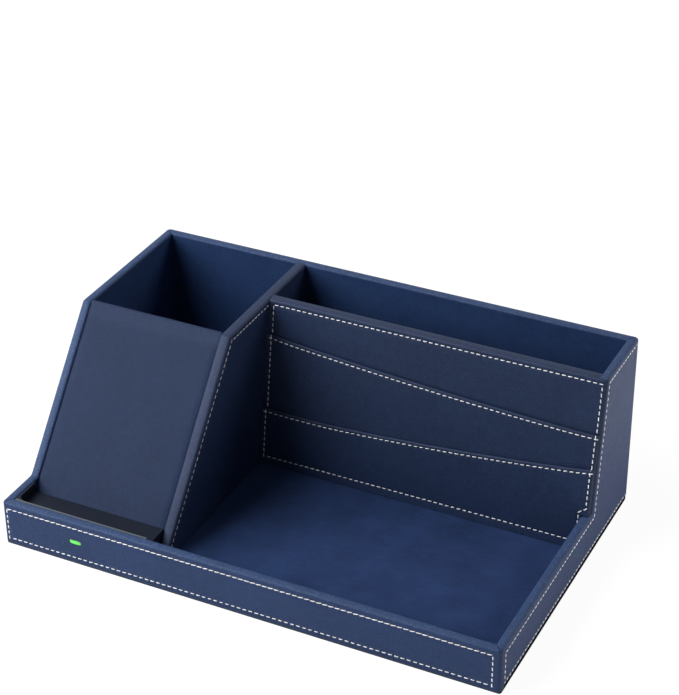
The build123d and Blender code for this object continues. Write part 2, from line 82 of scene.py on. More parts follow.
LEFT, FRONT, _ = cad_low * METRE
RIGHT, BACK, HEIGHT = cad_high * METRE
INNER_FRONT, LOW_HEIGHT = span("front_cover")[1].yz
WALL_FOOT = span("front_cover")[0].z
INNER_BACK = span("back_cover")[0].y
INNER_LEFT = span("left_cover")[1].x
INNER_RIGHT = span("right_cover")[0].x
DIVIDER_LEFT, DIVIDER_RIGHT = span("divider_cover")[0].x, span("divider_cover")[1].x
FRONT_FOOT = WALL_FOOT - 1.6
FRONT_FOOT_SKIN = 0.55
FLOOR = span("divider_cover")[0].z
CREST = span("pen_front_board")[0].y
PEN_FLOOR = span("pen_mat")[0].z
PEN_FRONT = span("pen_mat")[0].y
SHELF = span("phone_rest")[0].z
SLOPE_START = FRONT + 27.8
TOE = FLOOR + 3.5
SLOPE = math.atan2(HEIGHT - LOW_HEIGHT, CREST - SLOPE_START)
LEAN = math.radians(8.5)
CARD_TOP = FRONT + 134.8
CARD_THICK = 6.0 / math.cos(LEAN)
SKIN = 0.9
PANEL_RECESS = 1.0
EDGE_ROUND = 1.3
FRONT_CORNER_ROUND = 2.2
BACK_CORNER_ROUND = 1.4
KINK_ROUND = 2.4
FOOT_ROUND = 0.8
FOOT_RISES = (0.08, 0.24, 0.5)
# Height of the band along the leather's foot where shade is painted.
FOOT_SHADE_BAND = 3.6
CROWN = 0.12
SEAM_PRESS = 0.15
SEAM_WIDTH = 0.85
SHARP_EDGE = math.radians(40)
HOLE_GAP = 0.1


def slope_y(z, deep=0.0):
    """Where the charging slope stands at a height, deep under its surface."""
    return CREST - (HEIGHT - z) / math.tan(SLOPE) + deep / math.sin(SLOPE)


def card_y(z):
    """Where the front of the leaning panel stands at a height."""
    return CARD_TOP - (HEIGHT - z) * math.tan(LEAN)


# Shapes


def graded(start, end, step, spots=(), reach=2.0, fine=0.5, least=0.12):
    """Places from start to end, a step apart, and closer together near each spot."""
    count = max(1, round((end - start) / step))
    places = {start + (end - start) * k / count for k in range(1, count)}
    for spot in spots:
        turns = round(reach / fine)
        places.update(spot + k * fine for k in range(-turns, turns + 1))
    kept = [start]
    for place in sorted(places):
        if kept[-1] + least < place < end - least:
            kept.append(place)
    return kept + [end]


def closest(places, wanted):
    """Which of the places is closest to the one that is wanted."""
    return min(range(len(places)), key=lambda k: abs(places[k] - wanted))


def nearest(point, path):
    """Distance from a point to a path of straight runs in the same plane."""
    best = 1e9
    px, py = point
    for (ax, ay), (bx, by) in zip(path, path[1:]):
        dx, dy = bx - ax, by - ay
        t = ((px - ax) * dx + (py - ay) * dy) / (dx * dx + dy * dy)
        t = min(1.0, max(0.0, t))
        best = min(best, math.hypot(px - ax - t * dx, py - ay - t * dy))
    return best


def dent(gap):
    """How deep a seam presses leather in at that distance from it."""
    return SEAM_PRESS * math.exp(-((gap / SEAM_WIDTH) ** 2))


def relief(point, seams, rim, wave=0.10, seed=0.0):
    """How far leather stands out at a point: pressed in along its seams, and a little uneven."""
    out = wave * noise.noise(Vector((point[0] * 0.045, point[1] * 0.06, seed)))
    near = min((nearest(point, seam) for seam in seams), default=1e9)
    out -= dent(near)
    out += 0.35 * SEAM_PRESS * math.exp(-(((near - 2.2) / 1.1) ** 2))
    return out * min(1.0, nearest(point, rim) / 2.0) if rim else out


def tucked(rise, radius):
    """How far a rounded foot stands back at a height over its lower edge."""
    return radius - math.sqrt(radius**2 - (radius - rise) ** 2) if rise < radius else 0.0


def eased(point, corner, before, after, radius):
    """A point of a cornered line, moved onto the arc that rounds the corner."""
    turn = before.angle(after)
    reach = radius * math.tan(turn / 2)
    gap = (point - corner).length
    if gap >= reach or radius <= 0:
        return point
    along = -gap if (point - corner).dot(before + after) < 0 else gap
    side = math.copysign(1.0, before.x * after.y - before.y * after.x)
    first = corner - before * reach
    centre = first + Vector((-before.y, before.x)) * side * radius
    share = (along + reach) / (2 * reach)
    arm, other = first - centre, corner + after * reach - centre
    swing = math.sin((1 - share) * turn) * arm + math.sin(share * turn) * other
    return centre + swing / math.sin(turn)


def as_mesh(form, name):
    """A finished form as a mesh of that name."""
    mesh = bpy.data.meshes.new(name)
    form.to_mesh(mesh)
    form.free()
    return mesh


class Skin:
    """Leather or suede: points of its outside, each with one of its inside, and faces."""

    def __init__(self):
        self.outside, self.inside, self.wear, self.faces = [], [], [], []

    def point(self, outside, inside, wear=0.0):
        self.outside.append(Vector(outside))
        self.inside.append(Vector(inside))
        self.wear.append(wear)
        return len(self.wear) - 1

    def patch(self, rows, keep=None):
        """Faces between rows of points, each row as long as the others."""
        for i, (row, above) in enumerate(zip(rows, rows[1:])):
            for j in range(len(row) - 1):
                if keep is None or keep(i, j):
                    self.faces.append((row[j], row[j + 1], above[j + 1], above[j]))

    def mesh(self, name):
        """The skin as a closed mesh in metres, with its mask of wear and painted highlight kept
        for the finish.
        """
        form = bmesh.new()
        pair = form.verts.layers.int.new("pair")
        wear_and_highlight_layer = form.verts.layers.float.new("wear")
        corners = []
        for k, place in enumerate(self.outside):
            corner = form.verts.new(place / METRE)
            corner[pair], corner[wear_and_highlight_layer] = k, self.wear[k]
            corners.append(corner)
        for face in self.faces:
            form.faces.new([corners[k] for k in face])
        bmesh.ops.remove_doubles(form, verts=form.verts, dist=2e-6)
        loose = [corner for corner in form.verts if not corner.link_faces]
        bmesh.ops.delete(form, geom=loose, context="VERTS")
        rims = []
        for edge in form.edges:
            if edge.is_boundary:
                loop = edge.link_loops[0]
                rims.append((loop.vert, loop.link_loop_next.vert))
        outer_faces = [list(face.verts) for face in form.faces]
        under = {}
        for corner in list(form.verts):
            twin = form.verts.new(self.inside[corner[pair]] / METRE)
            twin[wear_and_highlight_layer] = corner[wear_and_highlight_layer]
            under[corner] = twin
        for face in outer_faces:
            form.faces.new([under[corner] for corner in reversed(face)])
        for a, b in rims:
            form.faces.new([b, a, under[a], under[b]])
        bmesh.ops.remove_doubles(form, verts=form.verts, dist=2e-6)
        bmesh.ops.dissolve_degenerate(form, dist=1e-6, edges=form.edges)
        bmesh.ops.recalc_face_normals(form, faces=form.faces)
        return as_mesh(form, name)


def place_piece(name, mesh, finish, nodes=()):
    """Add a piece to the scene, on the root body, with its finish and the nodes it stands for."""
    for polygon in mesh.polygons:
        polygon.use_smooth = True
    mesh.set_sharp_from_angle(angle=SHARP_EDGE)
    mesh.materials.append(finish)
    piece = bpy.data.objects.new(name, mesh)
    bpy.context.scene.collection.objects.link(piece)
    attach(piece, "root")
    if nodes:
        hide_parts(*nodes)
    return piece


def pill_mesh(name, node, y0, y1, gap=0.0, soft=0.0):
    """A solid with half-round ends, that much larger than a node all round, its front softened."""
    form = bmesh.new()
    low, high = span(node)
    middle = (low + high) / 2
    length, tall = high.x - low.x + 2 * gap, high.z - low.z + 2 * gap
    radius = tall / 2
    outline, turns = [], 12
    for k in range(turns + 1):
        angle = math.pi * (k / turns - 0.5)
        outline.append((length / 2 - radius + radius * math.cos(angle), radius * math.sin(angle)))
    outline += [(-x, -z) for x, z in outline]
    steps = [(y0, soft), (y0 + 0.3 * soft, 0.3 * soft), (y0 + soft, 0.0)] if soft else [(y0, 0.0)]
    rings = []
    for depth, shrink in steps + [(y1, 0.0)]:
        wider, taller = 1 - shrink / (length / 2), 1 - shrink / radius
        rings.append([
            form.verts.new(Vector((middle.x + x * wider, depth, middle.z + z * taller)) / METRE)
            for x, z in outline
        ])
    for ring, after in zip(rings, rings[1:]):
        for k in range(len(outline)):
            n = (k + 1) % len(outline)
            form.faces.new([ring[k], ring[n], after[n], after[k]])
    form.faces.new(rings[0])
    form.faces.new(rings[-1][::-1])
    bmesh.ops.recalc_face_normals(form, faces=form.faces)
    return as_mesh(form, name)


def cut(mesh, cutter):
    """A mesh with another one cut out of it."""
    solid = bpy.data.objects.new("solid", mesh)
    knife = bpy.data.objects.new("knife", cutter)
    for made in (solid, knife):
        bpy.context.scene.collection.objects.link(made)
    boolean = solid.modifiers.new("cut", "BOOLEAN")
    boolean.operation, boolean.solver, boolean.object = "DIFFERENCE", "EXACT", knife
    ready = solid.evaluated_get(bpy.context.evaluated_depsgraph_get())
    left_over = bpy.data.meshes.new_from_object(ready)
    for made in (solid, knife):
        bpy.data.objects.remove(made)
    return left_over


ARC = [math.radians(18 * k) for k in range(1, 6)]


def rim_section(wide):
    """Lateral place, depth, and the same for the inside, over the top of a wall of that width."""
    r = EDGE_ROUND
    rise = [
        (r - r * math.cos(a), r - r * math.sin(a),
         r - (r - SKIN) * math.cos(a), r - (r - SKIN) * math.sin(a))
        for a in ARC
    ]
    flat = [
        (r + (wide - 2 * r) * t, -CROWN * math.sin(math.pi * t), r + (wide - 2 * r) * t, SKIN)
        for t in (0.33, 0.67)
    ]
    fall = [(wide - a, b, wide - c, d) for a, b, c, d in reversed(rise)]
    return rise + flat + fall


def side_wall(outer_x, inner_x, foot, top, rounds, seams, foot_round=FOOT_ROUND, mitre=0.0):
    """Leather over a wall that runs from front to back under a low, a rising and a high run.

    A mitre is how far another wall's top runs along this one, where their leathers meet.
    """
    skin = Skin()
    r = EDGE_ROUND
    p0, p1, p2, p3 = (Vector(p) for p in top)
    runs = [(p1 - p0).normalized(), (p2 - p1).normalized(), (p3 - p2).normalized()]
    downs = [Vector((run.y, -run.x)) for run in runs]
    mitres = [(a + b) / (1 + a.dot(b)) for a, b in zip(downs, downs[1:])]
    q1, q2 = p1 + r * mitres[0], p2 + r * mitres[1]
    inward = math.copysign(1.0, inner_x - outer_x)
    wide = abs(inner_x - outer_x)
    corners = [corner for seam in seams for corner in seam]
    low_spots = [z for _, z in corners if z < q1.y] + [q1.y]
    high_spots = [z for _, z in corners if z > q1.y] + [q1.y, q2.y]
    low_rows = graded(foot, q1.y, 2.6, low_spots)
    if foot_round:
        low_rows = sorted({*low_rows, *[foot + rise for rise in FOOT_RISES]})
    rows = low_rows + graded(q1.y, q2.y, 3.0, high_spots)[1:]
    turn_row = len(low_rows) - 1
    low_columns = graded(p0.x, q1.x, 3.2, [y for y, _ in corners if y < q1.x] + [q1.x])
    turn = len(low_columns) - 1
    near = graded(0.0, 9.0, 1.6, [4.0], reach=2.8, fine=0.7)
    if mitre:
        near = graded(0.0, 9.0, 0.35)
    far = graded(0.0, 1.0, 4.0 / (p3.x - q1.x), least=0.001)

    def at(i, j):
        z = rows[i]
        edge = q1.x + max(0.0, z - q1.y) / (q2.y - q1.y) * (q2.x - q1.x)
        if j <= turn:
            return Vector((edge if j == turn else low_columns[j], z))
        k = j - turn
        if k < len(near):
            return Vector((edge + near[k], z))
        share = far[k - len(near) + 1]
        return Vector((edge + near[-1] + (p3.x - edge - near[-1]) * share, z))

    columns = turn + len(near) + len(far) - 1
    chain = [(turn_row, j) for j in range(turn + 1)]
    chain += [(i, turn) for i in range(turn_row + 1, len(rows))]
    chain += [(len(rows) - 1, j) for j in range(turn + 1, columns)]
    line = {}
    for n, (i, j) in enumerate(chain):
        base = at(i, j)
        run = 0 if n <= turn else 1 if n <= turn + len(rows) - 1 - turn_row else 2
        down = downs[run].copy()
        if run < 2:
            down += max(0.0, 1 - (base - q1).length / 3) * (mitres[0] - downs[run])
        if run > 0:
            down += max(0.0, 1 - (base - q2).length / 3) * (mitres[1] - downs[run])
        peak = base - r * down
        base = eased(base, q1, runs[0], runs[1], rounds[0] + r)
        base = eased(base, q2, runs[1], runs[2], max(0.0, rounds[1] - r))
        peak = eased(peak, p1, runs[0], runs[1], rounds[0])
        peak = eased(peak, p2, runs[1], runs[2], rounds[1])
        line[i, j] = (base, peak)

    rim = [tuple(p) for p in (p0, p1, p2, p3)]

    def face(x, sign, pressed):
        grid = []
        for i in range(len(rows)):
            row = []
            for j in range(columns):
                spot = line[i, j][0] if (i, j) in line else at(i, j)
                if i > turn_row and j < turn:
                    row.append(None)
                    continue
                out = relief(spot, pressed, rim, seed=x) - tucked(spot.y - foot, foot_round) * 0.9
                place = (x - sign * out, spot.x, spot.y)
                row.append(skin.point(place, (x + sign * SKIN, spot.x, spot.y)))
            grid.append(row)
        skin.patch(grid, lambda i, j: not (i >= turn_row and j < turn))
        return grid

    outer = face(outer_x, inward, seams)
    inner = face(inner_x, -inward, ())
    section = rim_section(wide)
    bands = []
    for i, j in chain:
        base, peak = line[i, j]
        band = [outer[i][j]]
        behind = peak.x - p2.x
        for lateral, depth, lateral_in, depth_in in section:
            if mitre and -0.5 < behind < mitre + 1:
                if lateral > wide / 2 and behind < mitre:
                    depth, depth_in = 0.0, SKIN
                off = abs(behind / mitre - lateral / wide) * wide * mitre / math.hypot(wide, mitre)
                depth += 0.35 * math.exp(-((off / 0.4) ** 2))
            a = peak + (base - peak) * depth / r
            b = peak + (base - peak) * depth_in / r
            # Wear and painted highlight, strongest along the middle of the top band.
            band.append(skin.point(
                (outer_x + inward * lateral, a.x, a.y),
                (outer_x + inward * lateral_in, b.x, b.y),
                1.0 - 0.4 * abs(2 * lateral / wide - 1),
            ))
        bands.append(band + [inner[i][j]])
    skin.patch(bands)
    return skin


def cross_wall(outer_y, inner_y, foot, top, corner_round, seams):
    """Leather round a wall that runs across, with its two outer corners rounded."""
    skin = Skin()
    r = EDGE_ROUND
    out = math.copysign(1.0, outer_y - inner_y)
    corners = [corner for seam in seams for corner in seam]
    straight = RIGHT - corner_round
    crease, crease_in, crease_width = 0.12, 2.6, 0.45
    plan = []
    for k in range(7):
        angle = math.pi / 2 * k / 6
        plan.append((
            straight + corner_round * math.cos(angle),
            outer_y - out * corner_round * (1 - math.sin(angle)),
        ))
    ends = [(RIGHT, inner_y), (RIGHT, inner_y + out * 0.7)] + plan
    xs = graded(-straight, straight, 3.0, [x for x, _ in corners] + [INNER_RIGHT])
    path = ends + [(x, outer_y) for x in xs[-2:0:-1]] + [(-x, y) for x, y in reversed(ends)]
    rows = graded(foot, top - r, 3.0, [z for _, z in corners])
    rows = [foot, *[foot + rise for rise in FOOT_RISES], *[z for z in rows if z > foot + 0.6]]
    rim = [(-straight, top), (straight, top)]
    grid = []
    for x, y in path:
        base = Vector((x, y))
        target = Vector((max(INNER_LEFT, min(INNER_RIGHT, x)), inner_y))
        wide = (target - base).length
        inward = (target - base) / wide
        fan = math.degrees(math.atan2(abs(y - inner_y), max(1e-6, abs(x) - INNER_RIGHT)))
        seam = math.exp(-(((fan - 45) / 9) ** 2)) if abs(x) > INNER_RIGHT else 0.0
        fade = max(0.0, min(1.0, (straight - abs(x)) / 2))
        column = []
        for z in rows:
            off = (abs(x) - RIGHT + crease_in) / crease_width
            lift = relief((x, z), seams, rim, seed=outer_y) * fade
            lift -= crease * math.exp(-(off**2)) * min(1.0, (top - z) / 4)
            lift -= min(tucked(z - foot, FOOT_ROUND), 0.5) * 0.9
            thick = SKIN if z >= WALL_FOOT else FRONT_FOOT_SKIN
            a, b = base - inward * lift, base + inward * thick
            column.append(skin.point((*a, z), (*b, z)))
        for lateral, depth, lateral_in, depth_in in rim_section(wide):
            sink = 0.3 * seam
            a, b = base + inward * lateral, base + inward * lateral_in
            # Wear and painted highlight along the middle of the top band, less at the corner
            # mitres.
            wear = 1.0 - 0.4 * abs(2 * lateral / wide - 1) - 0.9 * seam
            column.append(skin.point((*a, top - depth - sink), (*b, top - depth_in - sink), wear))
        for z in reversed(rows):
            lift = relief((x, z), (), (), wave=0.06, seed=inner_y) * fade
            a, b = target + inward * lift, target - inward * SKIN
            column.append(skin.point((*a, z), (*b, z)))
        grid.append(column)
    skin.patch(grid)
    return skin


# Leaning panel and pockets: places are x, height along the panel, and distance off its face

POCKET_SKIN = 1.3
POCKET_GAP = 0.8
POCKET_END = RIGHT - SKIN
POCKET_FOOT = (FLOOR + 1.0) / math.cos(LEAN)
POCKET_LOW = (LOW_HEIGHT + 2.8) / math.cos(LEAN)
MIDDLE_EDGE = (84.5, 77.3, 73.1)
FRONT_EDGE = (40.8, 45.9, 54.3)
FRONT_FLAT = 0.2


def card_place(x, up, off):
    """A point off the leaning panel's face, at a height measured along the face."""
    return Vector((
        x,
        card_y(0) + up * math.sin(LEAN) - off * math.cos(LEAN),
        up * math.cos(LEAN) + off * math.sin(LEAN),
    ))


def pocket_edge(x, heights, flat):
    """Height of a pocket's upper edge, along the panel."""
    share = (x - DIVIDER_RIGHT) / (POCKET_END - DIVIDER_RIGHT)
    share = max(0.0, (share - flat) / (1 - flat))
    low, middle, high = heights
    return low + share * (4 * middle - 3 * low - high) + share**2 * 2 * (low + high - 2 * middle)


def pocket_off(x, up, base, edge):
    """How far a pocket's leather stands off the panel."""
    side = min(x - DIVIDER_RIGHT - 2.7, RIGHT - 2.4 - x, up - POCKET_FOOT - 4.5)
    free = max(0.0, min(1.0, side / 14.0))
    belly = math.sin(math.pi * (x - DIVIDER_RIGHT) / (POCKET_END - DIVIDER_RIGHT))
    off = base + 1.45 + 0.65 * math.sin(free * math.pi / 2) + 0.35 * belly * free * up / edge
    return off + 0.10 * noise.noise(Vector((x * 0.05, up * 0.07, base + 3)))


def surface_off(x, up):
    """How far the uppermost leather stands off the panel's face."""
    edge = pocket_edge(x, FRONT_EDGE, FRONT_FLAT)
    if up < edge:
        return pocket_off(x, up, POCKET_GAP + POCKET_SKIN, edge)
    edge = pocket_edge(x, MIDDLE_EDGE, 0.0)
    if up < edge:
        return pocket_off(x, up, 0.0, edge)
    return 0.0


CARD_SEAM_LEFT = DIVIDER_RIGHT + 2.7
CARD_SEAM_RIGHT = RIGHT - 2.6
CARD_SEAM_IN = RIGHT - 6.2
CARD_SEAM_TOP = (HEIGHT - 2.8) / math.cos(LEAN)
CARD_SEAM_STEP = 30.7
CARD_SEAM_FOOT = 11.5
CARD_SEAM = [
    (CARD_SEAM_LEFT, CARD_SEAM_TOP),
    (CARD_SEAM_RIGHT, CARD_SEAM_TOP),
    (CARD_SEAM_RIGHT, CARD_SEAM_STEP + 0.7),
    (CARD_SEAM_IN, CARD_SEAM_STEP - 1.8),
    (CARD_SEAM_IN, CARD_SEAM_FOOT),
    (CARD_SEAM_LEFT, CARD_SEAM_FOOT),
    (CARD_SEAM_LEFT, CARD_SEAM_TOP),
]


def edge_seam(heights, flat):
    """The seam that runs along a pocket's upper edge."""
    count = 24
    start, end = DIVIDER_RIGHT + 0.6, RIGHT - 0.6
    xs = [start + (end - start) * k / count for k in range(count + 1)]
    return [(x, pocket_edge(x, heights, flat) - 2.0) for x in xs]


MIDDLE_SEAM = edge_seam(MIDDLE_EDGE, 0.0)
FRONT_SEAM = edge_seam(FRONT_EDGE, FRONT_FLAT)


def pocket_skin(base, heights, flat, seam):
    """A folded leather panel, pressed down where it is sewn and open at the top."""
    skin = Skin()
    spots = [CARD_SEAM_LEFT, CARD_SEAM_IN, CARD_SEAM_RIGHT]
    xs = graded(DIVIDER_RIGHT, POCKET_END, 3.0, spots + [INNER_RIGHT])
    ledge = (LOW_HEIGHT + 0.3) / math.cos(LEAN)
    low_rows = graded(POCKET_FOOT, POCKET_LOW, 2.6, [CARD_SEAM_FOOT, ledge])
    shares = [k / 10 for k in range(1, 10)]
    hem = [8.0, 6.0, 4.6, 3.7, 3.1, 2.6, 2.1, 1.6, 1.1, 0.7, 0.4, 0.18, 0.0]
    curl = {0.7: 0.0, 0.4: 0.08, 0.18: 0.22, 0.0: 0.5}
    grid = []

    def row(height_at, drop=0.0, wear=0.0):
        points = []
        for x in xs:
            up = height_at(x)
            edge = pocket_edge(x, heights, flat)
            off = pocket_off(x, min(up, edge - 0.01), base, edge)
            press = min(nearest((x, up), CARD_SEAM), nearest((x, up), seam))
            off -= dent(press)
            turn_back = max(0.0, x - (POCKET_END - 1.2)) / 1.2
            out = off - drop - 1.2 * (1 - math.sqrt(max(0.0, 1 - turn_back**2)))
            back = off - POCKET_SKIN + drop * 0.6
            back = min(back, out - 0.05)
            points.append(skin.point(
                card_place(x, up, max(out, base + 0.08)), card_place(x, up, max(back, base)), wear
            ))
        grid.append(points)

    for up in low_rows:
        row(lambda x, up=up: up)
    for share in shares:
        row(lambda x, share=share: POCKET_LOW
            + (pocket_edge(x, heights, flat) - hem[0] - POCKET_LOW) * share)
    for down in hem:
        # The last rows along the pocket's upper edge carry wear and a painted highlight.
        row(lambda x, down=down: pocket_edge(x, heights, flat) - down, curl.get(down, 0.0),
            0.7 if down < 1.2 else 0.0)
    inner = max(j for j, x in enumerate(xs) if x <= INNER_RIGHT + 0.01)
    over = closest(low_rows, ledge)
    skin.patch(grid, lambda i, j: i >= over or j < inner)
    return skin


def card_skin():
    """Leather over the leaning panel, and over the raised front edge of the right wall."""
    skin = Skin()
    r = EDGE_ROUND
    spots = [CARD_SEAM_LEFT, CARD_SEAM_IN, CARD_SEAM_RIGHT]
    xs = graded(DIVIDER_RIGHT, INNER_RIGHT, 3.0, spots)
    xs += [INNER_RIGHT + 0.8 * k for k in range(1, 6)]
    fold = 2.3
    xs = [x for x in xs if x < RIGHT - fold - 0.1]
    join = xs.index(INNER_RIGHT)
    plan = [(x, 0.0, x, SKIN / math.cos(LEAN)) for x in xs]
    for k in range(9):
        across, back = math.sin(math.pi / 16 * k), 1 - math.cos(math.pi / 16 * k)
        thin = fold - SKIN
        plan.append((RIGHT - fold + fold * across, fold * back,
                     RIGHT - fold + thin * across, SKIN + thin * back))
    plan += [(RIGHT + 0.07, 2.8, RIGHT - 0.4, 2.9), (RIGHT - 0.06, 3.2, RIGHT - 0.4, 3.2)]
    seams = [up * math.cos(LEAN) for up in (CARD_SEAM_TOP, CARD_SEAM_STEP, CARD_SEAM_FOOT)]
    strip_foot = LOW_HEIGHT - 2.0
    zs = graded(FLOOR, HEIGHT - r, 3.0, seams + [strip_foot])
    low = closest(zs, strip_foot)
    grid = []
    rim = [(DIVIDER_RIGHT, HEIGHT / math.cos(LEAN)), (RIGHT, HEIGHT / math.cos(LEAN))]

    for z in zs:
        row = []
        for x, back, x_in, back_in in plan:
            out = relief((x, z / math.cos(LEAN)), [CARD_SEAM], rim, seed=5.0)
            out *= max(0.0, 1 - back)
            y = card_y(z)
            row.append(skin.point((x, y - out + back, z), (x_in, y + back_in, z)))
        grid.append(row)
    front_rows = len(grid)
    for lateral, depth, lateral_in, depth_in in rim_section(CARD_THICK):
        # Wear and painted highlight along the middle of the top band.
        wear = 1.0 - 0.4 * abs(2 * lateral / CARD_THICK - 1)
        tuck = tucked(max(0.0, depth), r)
        z, z_in = HEIGHT - depth, HEIGHT - depth_in
        row = []
        for x, back, x_in, back_in in plan:
            side = tuck * min(1.0, back / fold)
            row.append(skin.point(
                (x - side, card_y(z) + lateral + back, z),
                (x_in - side, card_y(z_in) + max(back_in, lateral_in), z_in),
                wear,
            ))
        grid.append(row)
    for z in reversed(graded(FLOOR, HEIGHT - r, 4.0)):
        y = card_y(z) + CARD_THICK
        grid.append([
            skin.point(
                (x, y + relief((x, z), (), rim, wave=0.08, seed=9.0), z),
                (x, y - SKIN / math.cos(LEAN), z),
            )
            for x, *_ in plan
        ])
    skin.patch(grid, lambda i, j: j < join or low <= i < front_rows + 3)
    return skin


def phone_skin():
    """Leather from the moulded rest up the slope, over its crest and down behind it."""
    skin = Skin()
    start = Vector((slope_y(SHELF, PANEL_RECESS), SHELF))
    crest = Vector((slope_y(HEIGHT, PANEL_RECESS), HEIGHT))
    lip = Vector((PEN_FRONT, HEIGHT))
    foot = Vector((PEN_FRONT, PEN_FLOOR))
    runs = [(crest - start).normalized(), Vector((1, 0)), Vector((0, -1))]
    line = [start + (crest - start) * k / 40 for k in range(40)]
    line += [crest + runs[0] * k for k in (-1.2, -0.8, -0.5, -0.3, -0.15, 0)]
    line += [crest + runs[1] * k for k in (0.15, 0.3, 0.5)]
    line += [lip - runs[1] * k for k in (0.9, 0.65, 0.4, 0.2, 0)]
    line += [lip + runs[2] * k for k in (0.2, 0.4, 0.65, 1.0)]
    line += [lip + (foot - lip) * k / 20 for k in range(1, 21)]
    xs = graded(INNER_LEFT, DIVIDER_LEFT, 2.0, [DIVIDER_LEFT - 2], reach=4.0)
    grid = []
    for n, spot in enumerate(line):
        spot = eased(eased(spot, crest, runs[0], runs[1], 1.4), lip, runs[1], runs[2], 0.9)
        ahead, behind = line[min(n + 1, len(line) - 1)], line[max(n - 1, 0)]
        along = (ahead - behind).normalized()
        square = Vector((-along.y, along.x))
        on_slope = n < 38
        row = []
        for x in xs:
            side = min(x - INNER_LEFT, DIVIDER_LEFT - x)
            out = 0.09 * noise.noise(Vector((x * 0.05, spot.x * 0.06, 2.0)))
            if on_slope:
                low = math.exp(-((spot.y - SHELF) / 16.0))
                folds = noise.noise(Vector((x * 0.10, spot.y * 0.42 + x * 0.12, 7.0)))
                out += min(1.0, side / 3) * low * (0.28 * folds)
                out += 0.45 * math.sin(math.pi / 2 * min(1.0, side / 4))
            tuck = max(0.0, 1 - side / 1.2)
            out -= 0.15 * tuck * tuck
            place, below = spot + square * out, spot - square * SKIN
            # Rows over the crest carry wear and a painted highlight.
            row.append(skin.point((x, *place), (x, *below), 0.6 if 38 <= n <= 58 else 0.0))
        grid.append(row)
    skin.patch(grid)
    return skin


def mat_skin(x0, x1, y0, y1, z0, z1, seed):
    """A thin suede mat with soft edges and a slightly uneven top."""
    skin = Skin()
    xs = graded(x0, x1, 4.0, [x0, x1], reach=1.2, fine=0.3)
    ys = graded(y0, y1, 4.0, [y0, y1], reach=1.2, fine=0.3)
    grid = []
    for y in ys:
        row = []
        for x in xs:
            gap = min(x - x0, x1 - x, y - y0, y1 - y)
            soft = 0.45 * max(0.0, 1 - gap / 0.9) ** 2
            out = 0.05 * noise.noise(Vector((x * 0.07, y * 0.07, seed))) - soft
            row.append(skin.point((x, y, z1 + out), (x, y, z0)))
        grid.append(row)
    skin.patch(grid)
    return skin


# Thread


class Thread:
    """Stitches of one piece: short thick threads that dive into the leather at both ends."""

    def __init__(self, seed, pitch, thick):
        self.form = bmesh.new()
        self.luck = random.Random(seed)
        self.pitch, self.thick = pitch, thick

    def run(self, path, at, length, slant):
        """Sew along a path of straight runs; at gives a place and the way out of the leather."""
        runs = [(Vector(a), Vector(b)) for a, b in zip(path, path[1:])]
        total = sum((b - a).length for a, b in runs)
        count = max(1, round(total / self.pitch))
        for k in range(count):
            rest = (k + 0.5) * total / count
            for a, b in runs:
                size = (b - a).length
                if rest <= size:
                    break
                rest -= size
            centre = a + (b - a) * min(1.0, rest / size)
            way = (b - a).normalized()
            turn = math.radians(slant + self.luck.uniform(-2.5, 2.5))
            way = Vector((
                way.x * math.cos(turn) - way.y * math.sin(turn),
                way.x * math.sin(turn) + way.y * math.cos(turn),
            ))
            self.stitch(centre, way, at, length * self.luck.uniform(0.95, 1.05))

    def stitch(self, centre, way, at, length):
        rings = []
        for t in (-1.0, -0.86, -0.5, 0.0, 0.5, 0.86, 1.0):
            flat = centre + way * t * length / 2
            place, normal = at(flat.x, flat.y)
            ahead, _ = at(flat.x + way.x * 0.1, flat.y + way.y * 0.1)
            along = (ahead - place).normalized()
            side = along.cross(normal).normalized()
            full = 0.55 + 0.45 * math.sqrt(max(0.0, 1 - t**4))
            lift = -0.30 + 0.26 * math.sqrt(max(0.0, 1 - t * t))
            rings.append([
                self.form.verts.new((
                    place + normal * (lift + 0.13 * full * math.sin(angle))
                    + side * 0.5 * full * self.thick * math.cos(angle)
                ) / METRE)
                for angle in (math.pi / 4 * k for k in range(8))
            ])
        for ring, after in zip(rings, rings[1:]):
            for k in range(8):
                n = (k + 1) % 8
                self.form.faces.new([ring[k], ring[n], after[n], after[k]])
        self.form.faces.new(rings[0][::-1])
        self.form.faces.new(rings[-1])

    def mesh(self, name):
        bmesh.ops.recalc_face_normals(self.form, faces=self.form.faces)
        return as_mesh(self.form, name)


def flat_place(axis, level, out):
    """Places on an upright face: its first coordinate is along the wall and its second is up."""

    def at(a, b):
        point = (level, a, b) if axis == "x" else (a, level, b)
        normal = (out, 0, 0) if axis == "x" else (0, out, 0)
        return Vector(point), Vector(normal)

    return at


def card_surface(x, up):
    """A place on whatever leather is uppermost on the leaning panel, and the way out of it."""
    place = card_place(x, up, surface_off(x, up))
    return place, Vector((0, -math.cos(LEAN), math.sin(LEAN)))


# Seams on the upright faces, along the wall and up

FRONT_SEAM_LEFT, FRONT_SEAM_RIGHT = LEFT + 2.7, RIGHT - 4.6
FRONT_SEAM_FOOT, FRONT_SEAM_TOP = WALL_FOOT + 2.1, LOW_HEIGHT - 4.0
FRONT_WALL_SEAMS = [
    [(FRONT_SEAM_LEFT, FRONT_SEAM_TOP), (FRONT_SEAM_RIGHT, FRONT_SEAM_TOP)],
    [(FRONT_SEAM_LEFT, FRONT_SEAM_TOP), (FRONT_SEAM_LEFT, FRONT_SEAM_FOOT),
     (FRONT_SEAM_RIGHT, FRONT_SEAM_FOOT), (FRONT_SEAM_RIGHT, FRONT_SEAM_TOP)],
]
BACK_WALL_SEAMS = [
    [(LEFT + 1, HEIGHT - 3.6), (RIGHT - 1, HEIGHT - 3.6)],
    [(LEFT + 1, WALL_FOOT + 2.0), (RIGHT - 1, WALL_FOOT + 2.0)],
]
